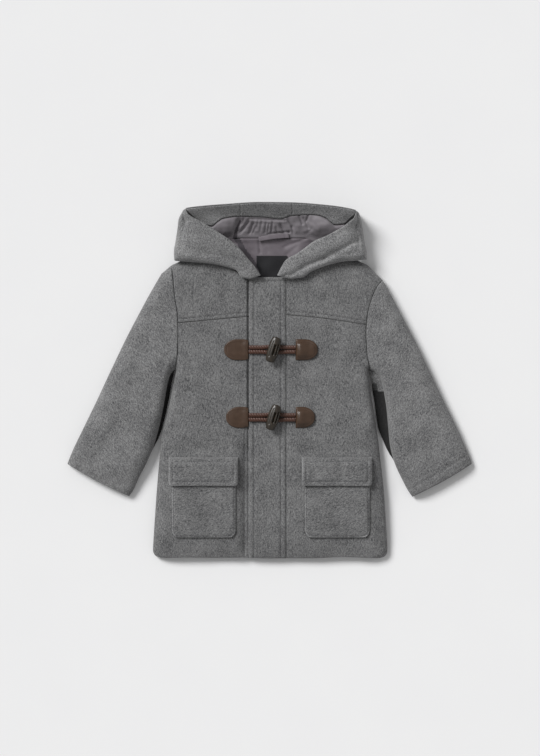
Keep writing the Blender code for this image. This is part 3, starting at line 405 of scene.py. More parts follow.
def undulation(x: Array, y: Array, seed: int, wavelength: float, waves: int = 7) -> Array:
    """Soft uneven swell of hand-laid cloth, the same on every run.

    Args:
        x, y: places in plan.
        seed: number that the waves are drawn from.
        wavelength: usual length of a wave, in mm.
        waves: how many are laid over each other.

    Returns:
        From about -1 to 1 for each place.
    """
    draw = np.random.default_rng(seed)
    total = np.zeros(np.shape(x))
    for _ in range(waves):
        angle, phase = draw.uniform(0, math.pi), draw.uniform(0, TURN)
        length = wavelength * draw.uniform(0.65, 1.6)
        total = total + np.sin((x * math.cos(angle) + y * math.sin(angle)) * TURN / length + phase)
    return total / math.sqrt(2 * waves)


def cloth_axis(length: float, step: float = CLOTH_STEP, lines: Sequence[float] = ()) -> Array:
    """Places for a cloth mesh's points, close together at both ends, where edges turn, and along sewn lines.

    Args:
        length: of the cloth, in mm.
        step: spacing away from the ends and lines.
        lines: distances of the sewn lines from the start.

    Returns:
        Shares of the length, from 0 to 1.
    """
    edge = np.array([0.0, 0.3, 0.7, 1.2, 1.9, 2.8, 4.0, 5.4])
    beside = np.array([-2.5, -1.7, -1.1, -0.55, 0.0, 0.55, 1.1, 1.7, 2.5])
    count = max(2, int((length - 2 * edge[-1]) / step))
    middle = np.linspace(edge[-1], length - edge[-1], count + 1)[1:-1]
    points = np.r_[edge, middle, length - edge[::-1]]
    for line in lines:
        near = line + beside
        points = np.r_[points[np.abs(points - line) > 3.1], near[(near > 0.5) & (near < length - 0.5)]]
    return np.sort(points) / length


# ---------------------------------------------------------------- the coat's form

@dataclass(frozen=True)
class CoatForm:
    """The laid coat as fields: how high its cloth lies at any place seen from above."""

    rows: Table = field(default_factory=lambda: Table(BODY_ROWS, "y"))
    fold_share: float = 1.3          # width of a side's rounding, as a share of the height
    under_round: float = 10.0

    def side(self, y: Array, side: int) -> Array:
        """Outline x of the body's left (-1) or right (1) side."""
        return self.rows.read("left" if side < 0 else "right", y)

    def wall(self, y: Array) -> Array:
        """Thickness of the padded cloth."""
        return self.rows.read("wall", y)

    def height(self, y: Array) -> Array:
        """Height of the fastened coat above the floor."""
        return self.rows.read("height", y)

    def steep(self, y: Array) -> Array:
        """Share of the usual rounding that a side has: less where body and sleeve face each other."""
        return mix(STEEP_ROUND, 1.0, smooth((np.abs(y - STEEP_MIDDLE) - STEEP_HALF) / 25.0))

    def roundness(self, x: Array, y: Array, width: Number, side_share: Number = 1.0) -> Array:
        """How far the cloth has rounded up from its folded sides and shoulders.

        Args:
            x, y: places in plan.
            width: of the rounding.
            side_share: share of that width that the sides have.

        Returns:
            1 inside the body, 0 at its edge.
        """
        share = np.ones(np.shape(x))
        for corners, side in ((LEFT, -1), (RIGHT, 1)):
            ux, uy = corners.underarm
            edge = self.side(np.minimum(y, LEFT.tip[1]), side)
            away = np.where(y < uy, np.maximum((edge - x) * side, 0), np.hypot(x - ux, y - uy))
            share = share * dome(away, width * side_share)
        share = share * dome(line_distance(x, y, SHOULDER_LEFT), width)
        return share * dome(line_distance(x, y, SHOULDER_RIGHT), width)

    def top(self, x: Array, y: Array) -> Array:
        """Outside of the fronts and yokes, with its folds and the swell of laid cloth.

        Args:
            x, y: places in plan.

        Returns:
            Heights.
        """
        low = self.wall(y) + 0.45
        lift = self.roundness(x, y, self.fold_share * self.height(y), self.steep(y))
        swell = 0.55 * undulation(x, y, 3, 64.0) + 0.22 * undulation(x, y, 5, 21.0)
        laid = mix(low, self.height(y) - fold_depth(x, y, FOLDS) + swell, lift)
        return np.maximum(low + 0.75, laid - self.armhole_roll(x, y))

    def armhole_roll(self, x: Array, y: Array) -> Array:
        """How far the cloth rolls down into the armhole seams.

        Args:
            x, y: places in plan.

        Returns:
            Depths.
        """
        total = np.zeros(np.shape(x))
        for corners, side in ((LEFT, -1), (RIGHT, 1)):
            away = np.abs(self.side(y, side) - x)
            above = smooth((y - corners.underarm[1] - 6) / 16) * smooth((corners.tip[1] + 4 - y) / 4)
            pucker = 1 + 0.35 * undulation(x, y, 67, 9.0)
            total = total + above * (1.5 * (1 - dome(away, 3.2)) + 0.35 * pucker * bell(away - 1.5, 2.2))
        return total

    def front(self, x: Array, y: Array) -> Array:
        """Outside of the left front, which dips gently, then plunges under the placket.

        Args:
            x, y: places in plan.

        Returns:
            Heights.
        """
        deep = SINK_SHARE * self.height(y)
        dip = 0.22 * smooth((x - SINK_START) / 12.0) + 0.78 * smooth((x + 30.6) / 2.8)
        return self.top(x, y) - deep * dip

    def front_inside(self, x: Array, y: Array, sinks: bool) -> Array:
        """Inner face of a front or yoke.

        Args:
            x, y: places in plan.
            sinks: whether it runs on under the placket, where its wall is thinner.

        Returns:
            Heights.
        """
        share = smooth((x - SINK_START) / 14.0) if sinks else 0.0
        wall = self.wall(y) * mix(1.0, EXTENSION_SHARE, share)
        outside = self.front(x, y) if sinks else self.top(x, y)
        return np.maximum(outside - wall, self.wall(y) + 0.6)

    def back_outside(self, x: Array, y: Array) -> Array:
        """Underside of the back, flat on the floor and rounding up at its folded edges."""
        return (self.wall(y) - 0.3) * (1 - self.roundness(x, y, self.under_round))

    def back_inside(self, x: Array, y: Array) -> Array:
        """Inner face of the back."""
        share = smooth(self.roundness(x, y, self.under_round + self.wall(y)))
        return mix(self.wall(y) + 0.3, self.wall(y), share)

    def placket_top(self, x: Array, y: Array) -> Array:
        """Outside of the placket strip."""
        swell = 0.35 * undulation(x, y, 11, 58.0) + 0.12 * undulation(x, y, 12, 19.0)
        return self.height(y) + 0.5 - fold_depth(x, y, FOLDS) + swell


# ---------------------------------------------------------------- meshes

def grid_faces(rows: int, columns: int, start: int = 0, closed: bool = False) -> Array:
    """Quads between the points of a grid that is numbered row by row.

    Args:
        rows, columns: size of the grid.
        start: number of its first point.
        closed: whether each row is a ring.

    Returns:
        Array of four point numbers for each quad.
    """
    across = columns if closed else columns - 1
    r, c = np.meshgrid(np.arange(rows - 1), np.arange(across), indexing="ij")
    n = (c + 1) % columns
    quads = np.stack([r * columns + c, r * columns + n, (r + 1) * columns + n, (r + 1) * columns + c], -1)
    return quads.reshape(-1, 4) + start


def make_object(name: str, points: Array, faces: list[list[int]],
                smooth_below: float = 50.0) -> Piece:
    """Makes a mesh object from points in millimetres.

    Args:
        name: the piece's name.
        points: points in the row frame, in millimetres.
        faces: polygons as lists of point numbers.
        smooth_below: edges sharper than this many degrees stay crisp.

    Returns:
        The new object, with its faces turned outwards.
    """
    mesh = bpy.data.meshes.new(name)
    mesh.from_pydata((np.asarray(points) * MM).tolist(), [], faces)
    if signed_volume(mesh) < 0:
        mesh.flip_normals()
    mesh.shade_smooth()
    mesh.set_sharp_from_angle(angle=math.radians(smooth_below))
    made = bpy.data.objects.new(name, mesh)
    bpy.context.collection.objects.link(made)
    return made


def signed_volume(mesh: bpy.types.Mesh) -> float:
    """Volume inside a mesh's faces.

    Args:
        mesh: a closed mesh.

    Returns:
        Cubic metres, negative where the faces point inwards.
    """
    mesh.calc_loop_triangles()
    co = np.empty(len(mesh.vertices) * 3)
    mesh.vertices.foreach_get("co", co)
    tri = np.empty(len(mesh.loop_triangles) * 3, int)
    mesh.loop_triangles.foreach_get("vertices", tri)
    a, b, c = np.moveaxis(co.reshape(-1, 3)[tri.reshape(-1, 3)], 1, 0)
    return float(np.einsum("ij,ij->i", a, np.cross(b, c)).sum() / 6)


def shell(name: str, outside: Array, inside: Array) -> Piece:
    """Closed wall between two grids of points.

    Args:
        name: the piece's name.
        outside, inside: arrays of rows by columns by three, of the same size.

    Returns:
        The new object.
    """
    rows, columns = outside.shape[:2]
    count = rows * columns
    number = np.arange(count).reshape(rows, columns)
    faces = [grid_faces(rows, columns), grid_faces(rows, columns, count)[:, ::-1]]
    for edge in (number[0], number[-1][::-1], number[::-1, 0], number[:, -1]):
        faces.append(np.stack([edge[1:], edge[:-1], edge[:-1] + count, edge[1:] + count], -1))
    points = np.concatenate([outside.reshape(-1, 3), inside.reshape(-1, 3)])
    return make_object(name, points, np.concatenate(faces).tolist())


def tube(name: str, outside: Array, inside: Array) -> Piece:
    """Closed wall between two stacks of rings, open at both ends.

    Args:
        name: the piece's name.
        outside, inside: arrays of rings by points by three, of the same size.

    Returns:
        The new object.
    """
    rows, columns = outside.shape[:2]
    count = rows * columns
    faces = [grid_faces(rows, columns, 0, True), grid_faces(rows, columns, count, True)[:, ::-1]]
    for ring, turn in ((np.arange(columns), 1), (np.arange(columns) + (rows - 1) * columns, -1)):
        after = np.roll(ring, -1)
        quads = np.stack([after, ring, ring + count, after + count], -1)
        faces.append(quads[:, ::turn])
    points = np.concatenate([outside.reshape(-1, 3), inside.reshape(-1, 3)])
    return make_object(name, points, np.concatenate(faces).tolist())


def solid(name: str, rings: Array) -> Piece:
    """Solid through a stack of rings, with both ends filled round a hub.

    Args:
        name: the piece's name.
        rings: array of rings by points by three.

    Returns:
        The new object.
    """
    rows, columns = rings.shape[:2]
    faces = grid_faces(rows, columns, 0, True).tolist()
    hubs = [rings[0].mean(0), rings[-1].mean(0)]
    for k in range(columns):
        n = (k + 1) % columns
        faces.append([n, k, rows * columns])
        faces.append([(rows - 1) * columns + k, (rows - 1) * columns + n, rows * columns + 1])
    return make_object(name, np.concatenate([rings.reshape(-1, 3), hubs]), faces)


class Edge(Enum):
    """How cloth ends at one side of a panel: how far it drops, over what width, in mm."""

    SEAM = (1.25, 2.6)
    TURNED = (1.9, 2.6)
    TUCKED = (0.0, 1.0)
    BOUND = (0.6, 1.6)
    HEM = (1.5, 1.3)


def plan_distances(plan: Array) -> tuple[Array, Array, Array, Array]:
    """Distances along a grid of plan points from its four sides.

    Args:
        plan: array of rows by columns by two.

    Returns:
        Distances from the left, right, lower and upper side.
    """
    across = np.linalg.norm(np.diff(plan, axis=1), axis=2)
    upward = np.linalg.norm(np.diff(plan, axis=0), axis=2)
    left = np.pad(np.cumsum(across, 1), ((0, 0), (1, 0)))
    low = np.pad(np.cumsum(upward, 0), ((1, 0), (0, 0)))
    return left, left[:, -1:] - left, low, low[-1:] - low


def edge_drop(plan: Array, edges: Sequence[Edge]) -> Array:
    """How far the cloth has turned down at its edges.

    Args:
        plan: grid of plan points.
        edges: how the left, right, lower and upper edge end.

    Returns:
        A drop for each point.
    """
    total = np.zeros(plan.shape[:2])
    for distance, edge in zip(plan_distances(plan), edges):
        drop, width = edge.value
        total = np.maximum(total, drop * (1 - dome(distance, width)))
    return total


def panel(name: str, plan: Array, outside: Height, inside: Height, edges: Sequence[Edge]) -> Piece:
    """Cloth wall over a grid of plan points, with its edges turned.

    Args:
        name: the piece's name.
        plan: the grid.
        outside, inside: heights of the wall's two faces.
        edges: how the left, right, lower and upper edge end.

    Returns:
        The new object.
    """
    x, y = plan[..., 0], plan[..., 1]
    low = inside(x, y)
    high = np.maximum(outside(x, y) - edge_drop(plan, edges), low + 0.5)
    return shell(name, np.dstack([x, y, high]), np.dstack([x, y, low]))


def coons(left: Array, right: Array, lower: Array, upper: Array, across: Array, upward: Array) -> Array:
    """Grid of plan points between four edges.

    Args:
        left, right: edge points, one for each share upward.
        lower, upper: edge points, one for each share across.
        across, upward: shares from 0 to 1.

    Returns:
        Array of rows by columns by two.
    """
    s, t = across[None, :, None], upward[:, None, None]
    sides = mix(left[:, None], right[:, None], s) + mix(lower[None], upper[None], t)
    flat = mix(mix(lower[0], lower[-1], s), mix(upper[0], upper[-1], s), t)
    return sides - flat


def stitches(name: str, path: Array, surface: Height, length: float = 3.0, gap: float = 1.0,
             radius: float = 0.34) -> Piece:
    """A row of sewn stitches along a path seen from above.

    Args:
        name: the piece's name.
        path: array of plan points.
        surface: height of the cloth the thread lies on.
        length, gap: a stitch and the space after it, in mm.
        radius: half the thread's thickness, in mm.

    Returns:
        One mesh of small tapered threads, sunk a little in the cloth.
    """
    sides, points, faces = 5, [], []
    profile = ((0.0, 0.35, -0.34), (0.14, 0.85, 0.02), (0.86, 0.85, 0.02), (1.0, 0.35, -0.34))
    count = int(np.linalg.norm(np.diff(path, axis=0), axis=1).sum() // (length + gap))
    for k in range(count):
        start, end = path_points(path, np.array([k, k + length / (length + gap)]) / count)
        along = (end - start) / max(np.linalg.norm(end - start), 1e-6)
        side = np.array([-along[1], along[0]])
        first = len(points)
        for share, thick, lift in profile:
            x, y = mix(start, end, share)
            z = float(surface(np.array(x), np.array(y))) + lift
            for angle in np.arange(sides) * TURN / sides:
                off = side * math.cos(angle) * radius * thick
                points.append((x + off[0], y + off[1], z + math.sin(angle) * radius * thick))
        faces += (grid_faces(len(profile), sides, first, True)[:, [0, 3, 2, 1]]).tolist()
        faces.append([first + j for j in range(sides)])
        faces.append([first + 3 * sides + j for j in reversed(range(sides))])
    return make_object(name, np.array(points), faces)


# ---------------------------------------------------------------- sewn lines

@dataclass(frozen=True)
class SewnLine:
    """A line of sewing seen from above, which draws the padded cloth in along it."""

    points: tuple[Point, ...]
    depth: float = 0.75
    pucker: float = 0.32
    ridge: float = 0.3                 # the padding stands up beside the stitches

    def sunk(self, x: Array, y: Array) -> Array:
        """How deep the line draws the cloth in.

        Args:
            x, y: places in plan.

        Returns:
            Depths of the drawn-in cloth.
        """
        away = line_distance(x, y, self.points)
        pucker = self.pucker * undulation(x, y, 17, 7.0) * bell(away, 4.5)
        return self.depth * bell(away, 1.15) + pucker - self.ridge * bell(away - 3.0, 1.7)


def sewn(x: Array, y: Array, lines: Sequence[SewnLine]) -> Array:
    """Depth of all the lines of sewing together."""
    return sum((line.sunk(x, y) for line in lines), np.zeros(np.shape(x)))


# ---------------------------------------------------------------- finishes

WAVES = 0.32               # a wave texture's bands are about 0.32 of a unit apart at a scale of 1


def srgb(code: str) -> tuple[float, float, float, float]:
    """Linear colour of an sRGB hex code."""
    shares = [int(code[k:k + 2], 16) / 255 for k in (1, 3, 5)]
    return (*(c / 12.92 if c <= 0.04045 else ((c + 0.055) / 1.055) ** 2.4 for c in shares), 1.0)


def add_node(tree: Nodes, kind: str, settings: dict | None = None,
             links: dict | None = None) -> bpy.types.Node:
    """Adds a node to a tree.

    Args:
        tree: the material's nodes.
        kind: Blender's name for the node.
        settings: values by attribute name, or by the name or number of an input.
        links: output sockets by the name or number of the input that they feed.

    Returns:
        The new node.
    """
    node = tree.nodes.new(kind)
    for key, value in (settings or {}).items():
        if isinstance(key, str) and hasattr(node, key):
            setattr(node, key, value)
        else:
            node.inputs[key].default_value = value
    for key, socket in (links or {}).items():
        tree.links.new(socket, node.inputs[key])
    return node


class Slot(Enum):
    """Material slots of the record."""

    WOOL = "wool_flannel"
    LINING = "lining"
    LEATHER = "leather"
    CORD = "leather_cord"
    HORN = "horn"
    LABEL = "label_weave"


class Pattern(NamedTuple):
    """What a finish draws: where its lighter colour shows, its relief and how it takes the light."""

    share: Socket        # of the lighter colour
    relief: Socket | None
    strength: float                    # of the relief
    depth: float                       # of the relief, in mm
    shader: dict
    links: dict = {}


@dataclass(frozen=True)
class Finish:
    """Two close colours of the real stuff, mixed by a pattern of its own."""

    name: str
    dark: str
    light: str

    def colours(self) -> list:
        """Linear dark and light colour."""
        return [srgb(self.dark), srgb(self.light)]

    def pattern(self, tree: Nodes, place: Socket) -> Pattern:
        """Each finish draws its own pattern from places in metres.

        Args:
            tree: the material's nodes.
            place: place on the piece, in metres.

        Returns:
            What the finish draws.
        """
        raise NotImplementedError

    def material(self) -> bpy.types.Material:
        """Node material of the finish.

        Returns:
            The finished material.
        """
        made = bpy.data.materials.new(self.name)
        made.use_nodes = True
        tree = made.node_tree
        tree.nodes.clear()
        drawn = self.pattern(tree, add_node(tree, "ShaderNodeTexCoord").outputs["Object"])
        dark, light = self.colours()
        mixed = {"data_type": "RGBA", 6: dark, 7: light}
        colour = add_node(tree, "ShaderNodeMix", mixed, {0: drawn.share}).outputs[2]
        links = drawn.links | {"Base Color": colour}
        if drawn.relief:
            raised = {"Strength": drawn.strength, "Distance": drawn.depth * MM}
            links["Normal"] = add_node(tree, "ShaderNodeBump", raised, {"Height": drawn.relief}).outputs[0]
        shader = add_node(tree, "ShaderNodeBsdfPrincipled", drawn.shader, links)
        add_node(tree, "ShaderNodeOutputMaterial", links={"Surface": shader.outputs[0]})
        return made


@dataclass(frozen=True)
class WoolFlannel(Finish):
    """Grey melange wool flannel, milled and lightly raised: clumped fibres of two greys, with no shine."""

    name: str = "wool flannel"
    dark: str = "#38383a"
    light: str = "#878787"
    painted_light_factor: float = 1.0                   # factor on both colours: painted light above 1, painted shade below 1
    grain: float = 0.0                 # angle of the warp, in radians
    fleck: float = 1.5                 # mm; fibres are 0.02 mm thick, so their tufts are drawn
    tuft: float = 0.85                 # mm; coarser, as the eye sees them from two metres

    def colours(self) -> list:
        """Linear dark and light colour, times the factor of painted light and shade."""
        return [[channel * self.painted_light_factor for channel in colour[:3]] + [1.0] for colour in super().colours()]

    def pattern(self, tree: Nodes, place: Socket) -> Pattern:
        """Flecks, and strands that lie both ways, more or less along the warp.

        Args:
            tree: the material's nodes.
            place: place on the piece, in metres.

        Returns:
            What the wool draws.
        """
        turned = {"Rotation": (0, 0, self.grain)}
        laid = {"Vector": add_node(tree, "ShaderNodeMapping", turned, {"Vector": place}).outputs[0]}
        parts = [(add_node(tree, "ShaderNodeTexNoise", {"Scale": 1 / (self.fleck * MM), "Detail": 3.0,
                                                        "Roughness": 0.62}, laid), 1.1)]
        for turn, squeeze in ((0.5, 0.22), (-0.9, 0.26)):
            drawn_out = {"Rotation": (0, 0, turn), "Scale": (1, squeeze, 1)}
            way = add_node(tree, "ShaderNodeMapping", drawn_out, laid)
            strands = {"Scale": 1 / (self.tuft * MM), "Detail": 2.0, "Roughness": 0.6, "Distortion": 0.4}
            parts.append((add_node(tree, "ShaderNodeTexNoise", strands, {"Vector": way.outputs[0]}), 0.8))
        parts.append((add_node(tree, "ShaderNodeTexNoise", {"Scale": 38.0, "Detail": 2.0}, laid), 0.35))
        total = None
        for noise, weight in parts:
            links = {0: noise.outputs["Fac"]} | ({2: total} if total else {})
            settings = {"operation": "MULTIPLY_ADD", 1: weight, 2: 0.0}
            total = add_node(tree, "ShaderNodeMath", settings, links).outputs[0]
        even = {"From Min": 1.22, "From Max": 1.84}
        share = add_node(tree, "ShaderNodeMapRange", even, {"Value": total}).outputs[0]
        return Pattern(share, total, 0.55, 0.6, {"Roughness": 0.95, "IOR": 1.45, "Specular IOR Level": 0.25,
                                                 "Sheen Weight": 0.22, "Sheen Roughness": 0.6})


@dataclass(frozen=True)
class LiningCloth(Finish):
    """Mauve-grey plain-woven lining, smooth with a faint silkiness."""

    name: str = "plain-weave lining"
    dark: str = "#5d575c"
    light: str = "#726b71"
    thread: float = 0.45               # mm

    def pattern(self, tree: Nodes, place: Socket) -> Pattern:
        """Fine yarns crossing at right angles, a little uneven in thickness.

        Args:
            tree: the material's nodes.
            place: place on the piece, in metres.

        Returns:
            What the weave draws.
        """
        yarn = {"Scale": WAVES * 1 / (self.thread * MM), "Distortion": 1.2, "Detail": 2.0}
        crossing = {number: add_node(tree, "ShaderNodeTexWave", {"bands_direction": way} | yarn,
                                     {"Vector": place}).outputs["Fac"] for number, way in enumerate("XY")}
        weave = add_node(tree, "ShaderNodeMath", {"operation": "MULTIPLY"}, crossing).outputs[0]
        uneven = add_node(tree, "ShaderNodeTexNoise", {"Scale": 130.0, "Detail": 4.0}, {"Vector": place})
        share = add_node(tree, "ShaderNodeMath", {"operation": "MULTIPLY_ADD", 1: 0.35},
                         {0: weave, 2: uneven.outputs["Fac"]}).outputs[0]
        return Pattern(share, weave, 0.3, 0.2, {"Roughness": 0.58, "IOR": 1.5, "Specular IOR Level": 0.4,
                                                "Sheen Weight": 0.25, "Sheen Roughness": 0.45})


@dataclass(frozen=True)
class GrainedLeather(Finish):
    """Brown cowhide, drum dyed, with a fine pebbled grain and a waxed surface."""

    name: str = "brown leather"
    dark: str = "#38271a"
    light: str = "#4c382a"
    pebble: float = 0.9                # mm

    def pattern(self, tree: Nodes, place: Socket) -> Pattern:
        """Pebbled grain under a dull wax, a little cloudy where it was handled.

        Args:
            tree: the material's nodes.
            place: place on the piece, in metres.

        Returns:
            What the grain draws.
        """
        at = {"Vector": place}
        grain = add_node(tree, "ShaderNodeTexVoronoi", {"Scale": 1 / (self.pebble * MM)}, at).outputs[0]
        handled = {"Scale": 210.0, "Detail": 5.0, "Roughness": 0.6}
        cloudy = add_node(tree, "ShaderNodeTexNoise", handled, at).outputs["Fac"]
        wax = {"To Min": 0.3, "To Max": 0.42}
        dull = add_node(tree, "ShaderNodeMapRange", wax, {"Value": cloudy}).outputs[0]
        waxed = {"IOR": 1.5, "Specular IOR Level": 0.5}
        return Pattern(cloudy, grain, 0.35, 0.25, waxed, {"Roughness": dull})


@dataclass(frozen=True)
class TwistedCord(Finish):
    """Waxed leather cord, red-brown, laid up from two strands, paler where they rub."""

    name: str = "waxed cord"
    dark: str = "#2a1813"
    light: str = "#5e3c2e"

    def pattern(self, tree: Nodes, place: Socket) -> Pattern:
        """Short rubbed fibres.

        Args:
            tree: the material's nodes.
            place: place on the piece, in metres.

        Returns:
            What the fibres draw.
        """
        rubbed = {"Scale": 900.0, "Detail": 3.0}
        fibre = add_node(tree, "ShaderNodeTexNoise", rubbed, {"Vector": place}).outputs["Fac"]
        return Pattern(fibre, fibre, 0.4, 0.2, {"Roughness": 0.5, "IOR": 1.48})


@dataclass(frozen=True)
class PolishedHorn(Finish):
    """Buffalo horn, sawn, turned and polished: dense dark keratin under a worn polish."""

    name: str = "polished horn"
    dark: str = "#14100b"
    light: str = "#4a3f31"
    line: float = 1.7                  # mm between growth lines

    def pattern(self, tree: Nodes, place: Socket) -> Pattern:
        """Paler growth lines that run aslant, broken up by clouds.

        Args:
            tree: the material's nodes.
            place: place on the piece, in metres.

        Returns:
            What the growth lines draw.
        """
        aslant = add_node(tree, "ShaderNodeMapping", {"Rotation": (0.0, 0.0, 0.3), "Scale": (1.0, 0.22, 1.0)},
                          {"Vector": place}).outputs[0]
        lines = {"Scale": WAVES * 1 / (self.line * MM), "Distortion": 3.0, "Detail": 3.0, "Detail Scale": 2.2}
        streak = add_node(tree, "ShaderNodeTexWave", lines, {"Vector": aslant}).outputs["Fac"]
        clouds = {"Scale": 160.0, "Detail": 4.0}
        cloudy = add_node(tree, "ShaderNodeTexNoise", clouds, {"Vector": place}).outputs["Fac"]
        share = add_node(tree, "ShaderNodeMath", {"operation": "MULTIPLY"}, {0: streak, 1: cloudy}).outputs[0]
        return Pattern(share, None, 0.0, 0.0, {"Roughness": 0.36, "IOR": 1.54})


@dataclass(frozen=True)
class PlainFinish(Finish):
    """Even stuff with a little cloudiness: sewing thread, the woven label and the studio floor."""

    roughness: float
    cloud: float                       # mm
    relief: float = 0.0                # mm

    def pattern(self, tree: Nodes, place: Socket) -> Pattern:
        """Soft clouds.

        Args:
            tree: the material's nodes.
            place: place on the piece, in metres.

        Returns:
            What the clouds draw.
        """
        cloudy = add_node(tree, "ShaderNodeTexNoise", {"Scale": 1 / (self.cloud * MM), "Detail": 3.0},
                          {"Vector": place}).outputs["Fac"]
        return Pattern(cloudy, cloudy, 0.3, self.relief, {"Roughness": self.roughness, "IOR": 1.45})


# A darkened copy of the lining: painted shade in deep creases and under the hood's left rim.
PAINTED_CREASE_SHADE = LiningCloth("lining in deep folds", "#38343a", "#4a454a")
THREAD = PlainFinish("sewing thread", "#3a3a3c", "#58585b", 0.7, 0.6, 0.1)
LEATHER_THREAD = PlainFinish("waxed sewing thread", "#35271d", "#483627", 0.6, 0.6, 0.1)
LABEL_WEAVE = PlainFinish("black woven label", "#050507", "#232327", 0.75, 1.1, 0.3)
FLOOR_PAPER = PlainFinish("pale paper", "#ebebec", "#eeeeee", 0.85, 90.0, 0.0)


@dataclass
class Wardrobe:
    """Materials made once and handed out to the pieces."""

    made: dict[str, bpy.types.Material] = field(default_factory=dict)

    def _add(self, piece: Piece, finish: Finish) -> None:
        """Appends a finish to a piece's materials, making it where it is new.

        Args:
            piece: the object.
            finish: what to add.
        """
        if finish.name not in self.made:
            self.made[finish.name] = finish.material()
        piece.data.materials.append(self.made[finish.name])

    def dress(self, piece: Piece, finish: Finish) -> None:
        """Gives a piece its finish.

        Args:
            piece: the object.
            finish: what it is made of.
        """
        self._add(piece, finish)

    def dress_some(self, piece: Piece, finish: Finish, chosen: Chosen) -> None:
        """Gives some of a piece's faces a further finish.

        Args:
            piece: the object.
            finish: what those faces are made of.
            chosen: tells by x, y and z in mm which faces, by their middles.
        """
        self._add(piece, finish)
        middles = np.array([face.center for face in piece.data.polygons]) / MM
        for face, on in zip(piece.data.polygons, chosen(*middles.T)):
            if on:
                face.material_index = len(piece.data.materials) - 1

    def lay(self, piece: Piece, finish: Finish, slot: Slot) -> None:
        """Dresses a piece, puts it in its solid's place and states its cut where it is cloth.

        Args:
            piece: the object, named as its solid.
            finish: what it is made of.
            slot: the record's slot that the finish stands for.
        """
        node = piece.name.split(".")[0]
        piece.name = f"{node}_{slot.name.lower()}"
        self.dress(piece, finish)
        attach(piece, "root")
        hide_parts(node)
        LOG.info("%s: %d points, %.4f m2 of cloth", piece.name, len(piece.data.vertices),
                 sum(face.area for face in piece.data.polygons) / 2)

    def sew(self, thread: Piece, finish: Finish) -> None:
        """Dresses a row of stitches and puts it on the coat.

        Args:
            thread: the stitches.
            finish: their thread.
        """
        self.dress(thread, finish)
        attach(thread, "root")
        LOG.info("%s: %d points", thread.name, len(thread.data.vertices))


# ---------------------------------------------------------------- sub-assemblies

